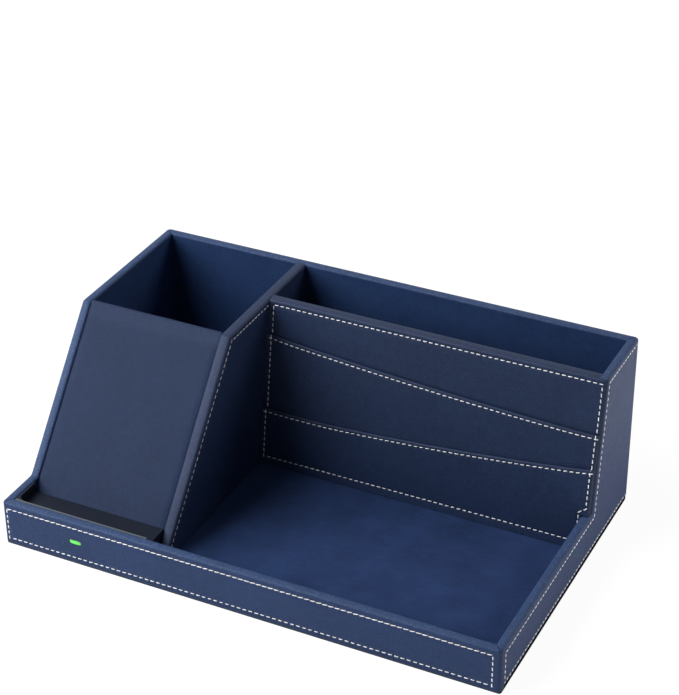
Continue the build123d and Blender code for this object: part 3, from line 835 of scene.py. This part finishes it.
SIDE_SEAM_START, SIDE_SEAM_END = INNER_FRONT + 0.6, BACK - 1.2
SIDE_SEAM_FOOT = WALL_FOOT + 1.7
LEFT_TOP = [
    (INNER_FRONT, LOW_HEIGHT), (SLOPE_START, LOW_HEIGHT), (CREST, HEIGHT), (INNER_BACK, HEIGHT)
]
RISE = SKIN / math.cos(LEAN)
RIGHT_TOP = [
    (INNER_FRONT, LOW_HEIGHT), (card_y(LOW_HEIGHT) + RISE, LOW_HEIGHT),
    (card_y(HEIGHT) + RISE, HEIGHT), (INNER_BACK, HEIGHT),
]
DIVIDER_TOP = [(INNER_FRONT, TOE), (slope_y(TOE), TOE), (CREST, HEIGHT), (INNER_BACK, HEIGHT)]


def under(top, inset, high_inset):
    """A seam that follows a wall's top line, under its low and its high run by an inset each."""
    points = [Vector(p) for p in top]
    runs = [(b - a).normalized() for a, b in zip(points, points[1:])]
    downs = [Vector((run.y, -run.x)) for run in runs]
    mitres = [(a + b) / (1 + a.dot(b)) for a, b in zip(downs, downs[1:])]
    seam = [points[0] + inset * downs[0], points[1] + inset * mitres[0]]
    seam += [points[2] + high_inset * mitres[1], points[3] + high_inset * downs[2]]
    return [tuple(p) for p in seam]


def side_seams(top, inset, high_inset):
    """The seams of an outer side: under its top line, and down its front and along its foot."""
    seam = under(top, inset, high_inset)
    seam[0] = (SIDE_SEAM_START, seam[0][1])
    seam[-1] = (SIDE_SEAM_END, seam[-1][1])
    return [seam, [(SIDE_SEAM_START, LOW_HEIGHT - inset), (SIDE_SEAM_START, SIDE_SEAM_FOOT),
                   (SIDE_SEAM_END, SIDE_SEAM_FOOT)]]


LEFT_SEAMS = side_seams(LEFT_TOP, 4.2, 4.2)
RIGHT_SEAMS = side_seams(RIGHT_TOP, 4.6, 3.4)
DIVIDER_SEAM = under(DIVIDER_TOP, 2.9, 3.4)[1:]
DIVIDER_SEAM[-1] = (card_y(HEIGHT) - 0.5, DIVIDER_SEAM[-1][1])


# Finishes


class Wire:
    """A value or colour inside a finish, which can stand in a sum."""

    def __init__(self, finish, socket):
        self.finish, self.socket = finish, socket

    def _sum(self, operation, *parts):
        return self.finish.node("ShaderNodeMath", {"operation": operation}, parts)

    def __add__(self, other):
        return self._sum("ADD", self, other)

    def __sub__(self, other):
        return self._sum("SUBTRACT", self, other)

    def __rsub__(self, other):
        return self._sum("SUBTRACT", other, self)

    def __mul__(self, other):
        return self._sum("MULTIPLY", self, other)

    def __truediv__(self, other):
        return self._sum("DIVIDE", self, other)

    __radd__ = __add__
    __rmul__ = __mul__

    def held(self):
        """The value kept between 0 and 1."""
        return self._sum("MINIMUM", self._sum("MAXIMUM", self, 0.0), 1.0)


class Finish:
    """The nodes of a material, or of the room. Places in it are in millimetres."""

    def __init__(self, name, kind="Material"):
        self.kind = kind
        self.owner = {"Material": bpy.data.materials, "World": bpy.data.worlds}[kind].new(name)
        self.owner.use_nodes = True
        self.tree = self.owner.node_tree
        self.tree.nodes.clear()
        metres = self.node("ShaderNodeTexCoord", out="Object")
        self.place = self.vector("SCALE", {"Vector": metres, "Scale": METRE})

    def node(self, kind, settings=None, inputs=(), out=0):
        """Add a node, set it up, and give its sockets values or links."""
        made = self.tree.nodes.new(kind)
        for name, value in (settings or {}).items():
            setattr(made, name, value)
        for key, value in inputs.items() if isinstance(inputs, dict) else enumerate(inputs):
            if isinstance(value, Wire):
                self.tree.links.new(value.socket, made.inputs[key])
            else:
                made.inputs[key].default_value = value
        return None if out is None else Wire(self, made.outputs[out])

    def vector(self, operation, inputs, out=0):
        """A sum of places."""
        return self.node("ShaderNodeVectorMath", {"operation": operation}, inputs, out)

    def along(self, axis):
        """Place along one axis of the frame."""
        spot = self.node("ShaderNodeNewGeometry", out="Position")
        return self.node("ShaderNodeSeparateXYZ", {}, {0: spot}, out=axis) * METRE

    def noise(self, scale, detail, place=None):
        """Soft noise from 0 to 1, with a scale in features to the millimetre."""
        return self.node("ShaderNodeTexNoise", {}, {
            "Vector": place or self.place, "Scale": scale, "Detail": detail,
        })

    def warped(self, scale, reach):
        """The place, pushed about by noise."""
        push = self.node("ShaderNodeTexNoise", {}, {
            "Vector": self.place, "Scale": scale, "Detail": 2.0,
        }, out="Color")
        return self.vector("MULTIPLY_ADD", (push, (reach, reach, reach), self.place))

    def stretched(self, factors):
        """The place, scaled along each axis."""
        return self.vector("MULTIPLY", (self.place, factors))

    def cells(self, scale, place, edges=True):
        """Distance to the border of a cell, or to its middle."""
        feature = "DISTANCE_TO_EDGE" if edges else "F1"
        return self.node("ShaderNodeTexVoronoi", {"feature": feature}, {
            "Vector": place, "Scale": scale,
        }, out="Distance")

    def mix(self, share, first, second):
        """A colour between two others."""
        return self.node(
            "ShaderNodeMix", {"data_type": "RGBA"}, {0: share, 6: first, 7: second}, out=2
        )

    def shade(self, share, colour, dark, light):
        """A colour made darker or lighter by a share that is kept between 0 and 1."""
        return self.mix(share.held(), opaque(colour, dark), opaque(colour, light))

    def kept(self, name):
        """A value kept in the mesh."""
        return self.node("ShaderNodeAttribute", {"attribute_name": name}, out="Fac")

    def surface(self, colour, rough, height, deep, fixed=None):
        """Close the material with a plain surface whose bumps are that deep."""
        bump = self.node("ShaderNodeBump", {}, {
            "Strength": 1.0, "Distance": deep / METRE, "Height": height,
        })
        return self.closed(self.node("ShaderNodeBsdfPrincipled", {}, {
            "Base Color": colour, "Roughness": rough, "Normal": bump, **(fixed or {}),
        }))

    def closed(self, shader):
        """Close the nodes with a shader, and return the material or world they belong to."""
        self.node(f"ShaderNodeOutput{self.kind}", {}, {"Surface": shader}, out=None)
        return self.owner


def opaque(colour, factor=1.0):
    """A colour with full alpha, made lighter or darker."""
    return (*[min(1.0, part * factor) for part in colour[:3]], 1.0)


def leather_finish(name, colour, grain, rub_and_highlight, shine):
    """Grained leather: pebbles with creases darkened by painted shade, paler where it is rubbed
    and where a highlight is painted on the top bands, and darker with painted shade at the foot.
    """
    f = Finish(name)
    place = f.warped(0.9 / grain, 0.55 * grain)
    pebbles = (f.cells(1.0 / grain, place) * 4.0).held()
    small = (f.cells(2.6 / grain, place) * 4.0).held()
    fine = f.noise(5.0, 3.0)
    drift = f.noise(0.035, 3.0)
    blotch = f.noise(0.25, 3.0)
    wear = f.kept("wear") * rub_and_highlight
    height = pebbles * 0.7 + small * 0.2 + fine * 0.25
    # Painted shade: the leather is darker in the creases between pebbles.
    deep = f.mix(pebbles * 0.75 + 0.25, opaque(colour, 0.55), opaque(colour))
    uneven = (drift - 0.5) * 0.9 + (blotch - 0.5) * 1.0
    tone = f.mix((uneven + 0.5).held(), deep, f.mix(0.5, deep, opaque(colour, 1.5)))
    # Paler along the top bands and edges by the wear-and-highlight mask: partly real rubbing,
    # partly a painted highlight where light falls on the tops.
    specks = ((f.noise(1.1, 2.0) - 0.5) * 6.0).held()
    pale = (colour[0] * 4.4, colour[1] * 3.2, colour[2] * 2.2)
    tone = f.mix((wear * (0.26 + specks * 0.5)).held(), tone, opaque(pale))
    # Painted shade: darker and greyer towards the bottom, in a band along the foot under the
    # rounded lower edge.
    foot = (1 - f.along("Z") / FOOT_SHADE_BAND).held()
    foot_shade_tone = (colour[0] * 0.7, colour[1] * 0.55, colour[2] * 0.4)
    tone = f.mix(foot * 0.8, tone, opaque(foot_shade_tone))
    rough = 0.36 + (blotch - 0.5) * 0.16 + wear * 0.12 + (1 - pebbles) * 0.10
    return f.surface(tone, rough, height, 0.08, {"Specular IOR Level": shine})


def suede_finish(name, colour):
    """Suede: a short nap that lies lighter or darker in soft patches, and a dusty sheen."""
    f = Finish(name)
    patches = f.noise(0.055, 4.0, f.warped(0.04, 14.0))
    strokes = f.noise(0.5, 3.0, f.stretched((0.35, 1.3, 1.0)))
    fibres = f.noise(7.0, 4.0)
    nap = (patches - 0.5) * 1.6 + (strokes - 0.5) * 0.7 + (fibres - 0.5) * 0.8 + 0.5
    tone = f.shade(nap, colour, 0.72, 1.32)
    return f.surface(tone, 0.88 + fibres * 0.12, fibres + strokes * 0.3, 0.09, {
        "Specular IOR Level": 0.15, "Sheen Weight": 0.35, "Sheen Roughness": 0.5,
        "Sheen Tint": opaque(colour, 3.0),
    })


def thread_finish(name, colour):
    """Waxed thread with fine twisted strands."""
    f = Finish(name)
    strands = f.noise(5.0, 2.0, f.stretched((1.0, 1.0, 2.2)))
    fuzz = f.noise(14.0, 3.0)
    tone = f.shade(strands * 0.6 + fuzz * 0.4, colour, 0.88, 1.08)
    return f.surface(tone, 0.62 + fuzz * 0.2, strands + fuzz * 0.4, 0.06)


def board_finish(name, colour):
    """Pressed fibre board: short fibres and dark specks."""
    f = Finish(name)
    fibres = f.noise(1.6, 4.0, f.warped(0.8, 0.8))
    specks = (f.cells(0.9, f.place, False) * 3.0).held()
    tone = f.shade(fibres * 0.8 + specks * 0.2, colour, 0.68, 1.15)
    return f.surface(tone, 0.82 + fibres * 0.1, fibres, 0.08)


def rubber_finish(name, colour, shine=0.2):
    """Dull rubber sheet with a fine cast texture."""
    f = Finish(name)
    dots = (f.cells(0.8, f.place, False) * 1.6).held()
    dust = f.noise(0.2, 4.0)
    fine = f.noise(6.0, 2.0)
    tone = f.shade(dust * 0.7 + fine * 0.3, colour, 0.7, 1.7)
    return f.surface(tone, 0.78 + dust * 0.15, dots + fine * 0.4, 0.06,
                     {"Specular IOR Level": shine})


def plastic_finish(name, colour, rough, grit=0.03):
    """Moulded plastic with a fine spark texture."""
    f = Finish(name)
    sparks = f.noise(3.2, 4.0)
    cloud = f.noise(0.12, 3.0)
    tone = f.shade(cloud * 0.7 + sparks * 0.3, colour, 0.86, 1.14)
    return f.surface(tone, rough + (cloud - 0.5) * 0.12, sparks, grit)


def rest_finish(name, colour):
    """Moulded plastic, with a painted highlight on top of the lip along its front."""
    f = Finish(name)
    sparks = f.noise(3.2, 4.0)
    cloud = f.noise(0.12, 3.0)
    low, high = span("phone_rest")
    # Mask for a painted highlight on top of the lip along its front.
    lip = ((f.along("Z") - high.z + 0.4) * 4.0).held()
    lip = lip * ((low.y + 1.6 - f.along("Y")) * 2.0).held()
    tone = f.shade(cloud * 0.7 + sparks * 0.3, colour, 0.8, 1.2)
    # Painted highlight: the top of the lip is mixed towards a pale grey.
    tone = f.mix((lip * (0.8 + (sparks - 0.5) * 0.4)).held(), tone, (0.13, 0.15, 0.17, 1.0))
    return f.surface(tone, 0.42 + (cloud - 0.5) * 0.12, sparks, 0.03,
                     {"Specular IOR Level": 0.2})


def metal_finish(name, colour, rough, draw=(1.0, 1.0, 1.0)):
    """Bare or plated metal with fine drawn lines."""
    f = Finish(name)
    lines = f.noise(6.0, 3.0, f.stretched(draw))
    cloud = f.noise(0.5, 3.0)
    tone = f.shade(lines * 0.5 + cloud * 0.5, colour, 0.82, 1.1)
    return f.surface(tone, rough + (lines - 0.5) * 0.14, lines, 0.012, {"Metallic": 1.0})


def circuit_finish(name, colour):
    """Solder mask over copper tracks that show as slightly raised, paler lines."""
    f = Finish(name)
    place = f.stretched((1.0, 1.0, 0.2))
    tracks = 1 - (f.cells(0.55, place) * 9.0).held()
    fine = f.noise(3.0, 2.0)
    tone = f.shade(tracks * 0.8 + (fine - 0.5) * 0.2, colour, 0.85, 1.9)
    return f.surface(tone, 0.32 + fine * 0.1, tracks + fine * 0.1, 0.04)


def lens_finish(name, colour, glow):
    """A green light pipe, brightest in its middle."""
    f = Finish(name)
    low, high = span("light_lens")
    middle, half = (low + high) / 2, (high - low) / 2
    away = f.vector("SUBTRACT", (f.place, middle))
    flat = f.vector("MULTIPLY", (away, (1 / half.x, 0.0, 1 / half.z)))
    reach = f.vector("LENGTH", (flat,), out="Value")
    bright = (1.15 - reach * 0.45).held()
    grains = f.noise(4.0, 2.0)
    tone = f.shade(bright + (grains - 0.5) * 0.15, colour, 0.35, 1.0)
    shader = {"Emission Color": tone, "Emission Strength": glow}
    return f.surface(tone, 0.28 + grains * 0.1, grains, 0.02, shader)


# User settings


class LeatherSettings(bpy.types.PropertyGroup):
    """Leather and thread."""

    outer: bpy.props.FloatVectorProperty(
        name="Outer leather", description="Colour of the leather on the walls",
        subtype="COLOR", size=3, min=0, max=1, default=(0.020, 0.044, 0.125))
    # The inner colour is the outer leather darkened: painted shade for the panels, pockets, slope
    # and divider inside the box.
    inner: bpy.props.FloatVectorProperty(
        name="Inner leather", description="Colour of the leather on the panels and pockets",
        subtype="COLOR", size=3, min=0, max=1, default=(0.016, 0.030, 0.077))
    grain: bpy.props.FloatProperty(
        name="Grain", description="Width of a pebble of the grain, in millimetres",
        min=0.3, max=4.0, default=0.85)
    thread: bpy.props.FloatVectorProperty(
        name="Thread", description="Colour of the thread",
        subtype="COLOR", size=3, min=0, max=1, default=(0.93, 0.94, 0.97))
    pitch: bpy.props.FloatProperty(
        name="Stitch pitch", description="From one stitch to the next, in millimetres",
        min=1.5, max=10.0, default=3.4)
    stitch: bpy.props.FloatProperty(
        name="Stitch length", description="Length of a stitch, in millimetres",
        min=1.0, max=8.0, default=2.35)
    close_stitch: bpy.props.FloatProperty(
        name="Close stitch length", description="Length of a close seam's stitch, in millimetres",
        min=1.0, max=8.0, default=3.2)
    thick: bpy.props.FloatProperty(
        name="Thread width", description="Width of the thread, in millimetres",
        min=0.2, max=2.0, default=0.54)


class LiningSettings(bpy.types.PropertyGroup):
    """Suede and the charge light."""

    suede: bpy.props.FloatVectorProperty(
        name="Suede", description="Colour of the suede mats",
        subtype="COLOR", size=3, min=0, max=1, default=(0.0176, 0.037, 0.110))
    light: bpy.props.FloatVectorProperty(
        name="Light", description="Colour of the charge light",
        subtype="COLOR", size=3, min=0, max=1, default=(0.12, 0.62, 0.10))
    glow: bpy.props.FloatProperty(
        name="Glow", description="How strongly the charge light shines",
        min=0, max=10, default=0.55)


class StageSettings(bpy.types.PropertyGroup):
    """Camera, floor and lamps."""

    floor: bpy.props.FloatVectorProperty(
        name="Floor", description="Colour of the floor",
        subtype="COLOR", size=3, min=0, max=1, default=(0.90, 0.90, 0.90))
    camera: bpy.props.FloatVectorProperty(
        name="Camera", description="Place of the camera",
        subtype="XYZ", unit="LENGTH", size=3, default=(0.41358, -0.80861, 0.65897))
    turn: bpy.props.FloatVectorProperty(
        name="Turn", description="Turn of the camera",
        subtype="EULER", size=3,
        default=(math.radians(58.819), math.radians(0.394), math.radians(26.156)))
    lens: bpy.props.FloatProperty(
        name="Lens", description="Focal length in millimetres",
        unit="CAMERA", min=10, max=400, default=106.37)
    glare: bpy.props.FloatProperty(
        name="Glare", description="How much of the floor is plain white to the eye",
        subtype="FACTOR", min=0, max=1, default=0.85)
    level: bpy.props.FloatProperty(
        name="Lamps", description="Strength of all the lamps together",
        min=0, max=10, default=1.0)


def settings(group):
    """One group of the settings, by its name in the scene."""
    return getattr(bpy.context.scene, group)


def leather(kind):
    """The outer, the inner or the slope's leather, made when it is first asked for."""
    name = f"grained_{kind}"
    look = settings("organizer_leather")
    # The inner leather is a darker copy of the outer one, painting the shade inside the box.
    colour = look.outer if kind == "outer" else look.inner
    rub_and_highlight, shine = {"outer": (1.0, 0.18), "inner": (0.5, 0.18), "slope": (0.5, 0.08)}[kind]
    return bpy.data.materials.get(name) or leather_finish(name, colour, look.grain, rub_and_highlight, shine)


def sew(name, seed, seams, at, close=(), fuller=1.0):
    """Add the stitches of one piece. They nearly touch along the seams that are close."""
    look = settings("organizer_leather")
    thread = Thread(seed, look.pitch, look.thick * fuller)
    for seam in seams:
        thread.run(seam, at, look.stitch, 4.0)
    for seam in close:
        thread.run(seam, at, look.close_stitch, 8.0)
    finish = bpy.data.materials.get("waxed_thread") or thread_finish("waxed_thread", look.thread)
    return place_piece(name, thread.mesh(name), finish)


# Operators


class ORGANIZER_OT_front_wall(bpy.types.Operator):
    """Wrap the low front wall in leather, and sew it"""

    bl_idname = "organizer.front_wall"
    bl_label = "Front Wall"
    bl_options = {"REGISTER", "UNDO"}

    def execute(self, context):
        skin = cross_wall(FRONT, INNER_FRONT, FRONT_FOOT, LOW_HEIGHT, FRONT_CORNER_ROUND,
                          FRONT_WALL_SEAMS)
        hole = pill_mesh("hole", "light_lens", FRONT - 2, INNER_FRONT + 2, HOLE_GAP)
        mesh = cut(skin.mesh("front_leather"), hole)
        place_piece("front_leather", mesh, leather("outer"), ["front_cover"])
        sew("front_stitches", 1, FRONT_WALL_SEAMS[1:], flat_place("y", FRONT, -1), fuller=1.15,
            close=FRONT_WALL_SEAMS[:1])
        return {"FINISHED"}


class ORGANIZER_OT_back_wall(bpy.types.Operator):
    """Wrap the back wall in leather, and sew it"""

    bl_idname = "organizer.back_wall"
    bl_label = "Back Wall"
    bl_options = {"REGISTER", "UNDO"}

    def execute(self, context):
        skin = cross_wall(BACK, INNER_BACK, WALL_FOOT, HEIGHT, BACK_CORNER_ROUND,
                          BACK_WALL_SEAMS)
        hole = pill_mesh("hole", "inlet_bezel", INNER_BACK - 2, BACK + 2, HOLE_GAP)
        mesh = cut(skin.mesh("back_leather"), hole)
        place_piece("back_leather", mesh, leather("outer"), ["back_cover"])
        sew("back_stitches", 2, BACK_WALL_SEAMS, flat_place("y", BACK, 1))
        return {"FINISHED"}


class ORGANIZER_OT_side_walls(bpy.types.Operator):
    """Wrap the left and right walls in leather, and sew them"""

    bl_idname = "organizer.side_walls"
    bl_label = "Side Walls"
    bl_options = {"REGISTER", "UNDO"}

    def execute(self, context):
        skin = side_wall(LEFT, INNER_LEFT, WALL_FOOT, LEFT_TOP, (KINK_ROUND, KINK_ROUND),
                         LEFT_SEAMS)
        place_piece("left_leather", skin.mesh("left_leather"), leather("outer"),
                    ["left_cover"])
        sew("left_stitches", 3, LEFT_SEAMS, flat_place("x", LEFT, -1), fuller=1.4)
        skin = side_wall(RIGHT, INNER_RIGHT, WALL_FOOT, RIGHT_TOP, (0.9, 0.1), RIGHT_SEAMS,
                         mitre=CARD_THICK - RISE)
        place_piece("right_leather", skin.mesh("right_leather"), leather("outer"),
                    ["right_cover"])
        sew("right_stitches", 4, RIGHT_SEAMS, flat_place("x", RIGHT, 1), fuller=1.4)
        return {"FINISHED"}


class ORGANIZER_OT_divider(bpy.types.Operator):
    """Wrap the wall between the slope and the tray, and sew it"""

    bl_idname = "organizer.divider"
    bl_label = "Divider"
    bl_options = {"REGISTER", "UNDO"}

    def execute(self, context):
        skin = side_wall(DIVIDER_RIGHT, DIVIDER_LEFT, FLOOR, DIVIDER_TOP, (KINK_ROUND, KINK_ROUND),
                         [DIVIDER_SEAM], foot_round=0.0)
        place_piece("divider_leather", skin.mesh("divider_leather"), leather("inner"),
                    ["divider_cover"])
        sew("divider_stitches", 5, [DIVIDER_SEAM], flat_place("x", DIVIDER_RIGHT, 1))
        return {"FINISHED"}


class ORGANIZER_OT_card_panel(bpy.types.Operator):
    """Cover the leaning panel in leather, and sew it through its pockets"""

    bl_idname = "organizer.card_panel"
    bl_label = "Card Panel"
    bl_options = {"REGISTER", "UNDO"}

    def execute(self, context):
        place_piece("card_leather", card_skin().mesh("card_leather"), leather("inner"),
                    ["card_cover"])
        sew("card_stitches", 6, [CARD_SEAM], card_surface)
        return {"FINISHED"}


class ORGANIZER_OT_pockets(bpy.types.Operator):
    """Fold and sew the two leather pockets"""

    bl_idname = "organizer.pockets"
    bl_label = "Pockets"
    bl_options = {"REGISTER", "UNDO"}

    def execute(self, context):
        for name, base, heights, flat, seam, seed in (
            ("middle_pocket", 0.0, MIDDLE_EDGE, 0.0, MIDDLE_SEAM, 7),
            ("front_pocket", POCKET_GAP + POCKET_SKIN, FRONT_EDGE, FRONT_FLAT, FRONT_SEAM, 8),
        ):
            skin = pocket_skin(base, heights, flat, seam)
            place_piece(f"{name}_leather", skin.mesh(name), leather("inner"),
                        [name])
            sew(f"{name}_stitches", seed, [seam], card_surface)
        return {"FINISHED"}


class ORGANIZER_OT_phone_side(bpy.types.Operator):
    """Cover the charging slope and its crest in leather"""

    bl_idname = "organizer.phone_side"
    bl_label = "Phone Side"
    bl_options = {"REGISTER", "UNDO"}

    def execute(self, context):
        place_piece("phone_leather", phone_skin().mesh("phone_leather"), leather("slope"),
                    ["phone_cover", "pen_front_cover"])
        return {"FINISHED"}


class ORGANIZER_OT_mats(bpy.types.Operator):
    """Lay the suede mats in the tray, the tall box and the slot"""

    bl_idname = "organizer.mats"
    bl_label = "Suede Mats"
    bl_options = {"REGISTER", "UNDO"}

    def execute(self, context):
        finish = suede_finish("suede", settings("organizer_lining").suede)
        for seed, node in enumerate(("tray_mat", "pen_mat", "slot_mat")):
            low, high = span(node)
            skin = mat_skin(low.x, high.x, low.y, high.y, low.z, high.z, seed)
            place_piece(f"{node}_suede", skin.mesh(node), finish, [node])
        return {"FINISHED"}


class ORGANIZER_OT_light(bpy.types.Operator):
    """Set the pill-shaped charge light in the front wall"""

    bl_idname = "organizer.light"
    bl_label = "Charge Light"
    bl_options = {"REGISTER", "UNDO"}

    def execute(self, context):
        look = settings("organizer_lining")
        low, high = span("light_lens")
        mesh = pill_mesh("charge_lens", "light_lens", low.y, high.y, soft=0.35)
        place_piece("charge_lens", mesh, lens_finish("light_green", look.light, look.glow),
                    ["light_lens"])
        return {"FINISHED"}


class ORGANIZER_OT_frame_finishes(bpy.types.Operator):
    """Give the pieces that keep their own shape their finishes"""

    bl_idname = "organizer.frame_finishes"
    bl_label = "Boards, Plastic and Metal"
    bl_options = {"REGISTER", "UNDO"}

    def execute(self, context):
        finishes = {
            "wood_board": board_finish("fibre_board", (0.42, 0.28, 0.16)),
            "base_rubber": rubber_finish("base_rubber", (0.006, 0.006, 0.007), 0.0),
            "rest_plastic": rest_finish("rest_plastic", (0.008, 0.012, 0.024)),
            "lamp": plastic_finish("lamp_chip", (0.85, 0.85, 0.55), 0.4),
            "housing_plastic": plastic_finish("housing_plastic", (0.022, 0.022, 0.025), 0.5),
            "white_plastic": plastic_finish("white_plastic", (0.78, 0.76, 0.70), 0.45),
            "circuit_board": circuit_finish("circuit_board", (0.012, 0.13, 0.045)),
            "chip": plastic_finish("chip_epoxy", (0.015, 0.015, 0.016), 0.55),
            "can": metal_finish("drawn_can", (0.72, 0.72, 0.74), 0.28, (1.0, 1.0, 0.15)),
            "choke": plastic_finish("choke_ferrite", (0.06, 0.06, 0.065), 0.6, 0.06),
            "ferrite": plastic_finish("ferrite_sheet", (0.05, 0.045, 0.045), 0.65, 0.06),
            "copper": metal_finish("coil_wire", (0.72, 0.32, 0.15), 0.3),
            "steel": metal_finish("plated_steel", (0.55, 0.56, 0.58), 0.34, (0.2, 1.0, 1.0)),
            "lead_jacket": rubber_finish("lead_jacket", (0.018, 0.018, 0.019)),
        }
        slots = {part["node"]: part["material_slot"] for part in frame["record"]["subparts"]}
        for node, piece in frame["nodes"].items():
            if piece.hide_render:
                continue
            piece.data.materials.clear()
            piece.data.materials.append(finishes[slots[node]])
        rest = frame["nodes"]["phone_rest"].modifiers.new("soft edges", "BEVEL")
        rest.width, rest.segments, rest.limit_method = 0.28 / METRE, 2, "ANGLE"
        rest.angle_limit = math.radians(50)
        return {"FINISHED"}


class ORGANIZER_OT_stage(bpy.types.Operator):
    """Set the pale floor, the soft lamps and the camera"""

    bl_idname = "organizer.stage"
    bl_label = "Stage"
    bl_options = {"REGISTER", "UNDO"}

    def execute(self, context):
        look = settings("organizer_stage")
        scene = bpy.context.scene
        form = bmesh.new()
        bmesh.ops.create_grid(form, x_segments=8, y_segments=8, size=4.0)
        floor = bpy.data.objects.new("floor", as_mesh(form, "floor"))
        scene.collection.objects.link(floor)
        f = Finish("floor_paper")
        cloud = f.noise(0.004, 2.0)
        tone = f.mix(cloud, opaque(look.floor, 0.99), opaque(look.floor, 1.01))
        paper = f.node("ShaderNodeBsdfDiffuse", {}, {"Color": tone})
        glow, white = (
            f.node("ShaderNodeEmission", {}, {"Color": (1, 1, 1, 1), "Strength": strength})
            for strength in (2.4 * look.level, 1.1)
        )
        seen = f.node("ShaderNodeLightPath", out="Is Camera Ray")
        mirrored = f.node("ShaderNodeLightPath", out="Is Glossy Ray")
        x, y = (f.node("ShaderNodeSeparateXYZ", {}, {0: f.place}, out=axis) for axis in "XY")
        side = ((x - 120) / 30).held() * ((y + 130) / 60).held() * (1 - ((x - 400) / 150).held())
        share = (1 - seen - mirrored) * side * (0.4 + 0.5 * ((x - 150) / 120).held())
        lit = f.node("ShaderNodeMixShader", {}, (share, paper, glow))
        share = seen * look.glare + mirrored * (0.14 + 0.2 * ((x - 150) / 25).held())
        paper = f.closed(f.node("ShaderNodeMixShader", {}, (share, lit, white)))
        floor.data.materials.append(paper)

        f = Finish("room", "World")
        dim, bright = (
            f.node("ShaderNodeBackground", {}, {"Color": colour, "Strength": strength})
            for colour, strength in (
                ((1.0, 0.95, 0.88, 1.0), 0.11 * look.level), ((1, 1, 1, 1), 1.0)
            )
        )
        share = f.node("ShaderNodeLightPath", out="Is Glossy Ray") * 0.7
        share = share + f.node("ShaderNodeLightPath", out="Is Camera Ray")
        scene.world = f.closed(f.node("ShaderNodeMixShader", {}, (share, dim, bright)))

        for name, place, size, power, colour in (
            ("lamp_key", (-0.72, -0.50, 0.74), 1.10, 18.5, (1.0, 0.99, 0.97)),
            ("lamp_back", (0.95, 0.60, 0.60), 0.50, 4.0, (1.0, 0.97, 0.97)),
        ):
            light = bpy.data.lights.new(name, "AREA")
            light.shape, light.size = "DISK", size
            light.energy, light.color = power * look.level, colour
            lamp = bpy.data.objects.new(name, light)
            lamp.location = place
            aim = Vector((0, 0, 0.04)) - Vector(place)
            lamp.rotation_euler = aim.to_track_quat("-Z", "Y").to_euler()
            scene.collection.objects.link(lamp)

        lens = bpy.data.cameras.new("camera")
        lens.sensor_width, lens.lens = 36.0, look.lens
        lens.clip_start, lens.clip_end = 0.05, 20.0
        camera = bpy.data.objects.new("camera", lens)
        camera.location, camera.rotation_euler = look.camera, look.turn
        scene.collection.objects.link(camera)
        scene.camera = camera
        scene.view_settings.view_transform = "Standard"
        return {"FINISHED"}


STEPS = (
    ORGANIZER_OT_stage,
    ORGANIZER_OT_front_wall,
    ORGANIZER_OT_back_wall,
    ORGANIZER_OT_side_walls,
    ORGANIZER_OT_divider,
    ORGANIZER_OT_card_panel,
    ORGANIZER_OT_pockets,
    ORGANIZER_OT_phone_side,
    ORGANIZER_OT_mats,
    ORGANIZER_OT_light,
    ORGANIZER_OT_frame_finishes,
)


class ORGANIZER_PT_panel(bpy.types.Panel):
    """The organizer's settings and its steps, in the order they run"""

    bl_idname = "ORGANIZER_PT_panel"
    bl_label = "Desk Organizer"
    bl_space_type = "VIEW_3D"
    bl_region_type = "UI"
    bl_category = "Organizer"

    def draw(self, context):
        layout = self.layout
        for name, group in GROUPS.items():
            box = layout.box()
            for prop in group.__annotations__:
                box.prop(getattr(context.scene, name), prop)
        for step in STEPS:
            layout.operator(step.bl_idname)


GROUPS = {
    "organizer_leather": LeatherSettings,
    "organizer_lining": LiningSettings,
    "organizer_stage": StageSettings,
}


def register():
    for kind in (*GROUPS.values(), *STEPS, ORGANIZER_PT_panel):
        bpy.utils.register_class(kind)
    for name, group in GROUPS.items():
        setattr(bpy.types.Scene, name, bpy.props.PointerProperty(type=group))


def unregister():
    for name in GROUPS:
        delattr(bpy.types.Scene, name)
    for kind in reversed((*GROUPS.values(), *STEPS, ORGANIZER_PT_panel)):
        bpy.utils.unregister_class(kind)


def main():
    """Build every piece in order."""
    register()
    for step in STEPS:
        family, name = step.bl_idname.split(".")
        getattr(getattr(bpy.ops, family), name)()


if __name__ == "__main__":
    main()
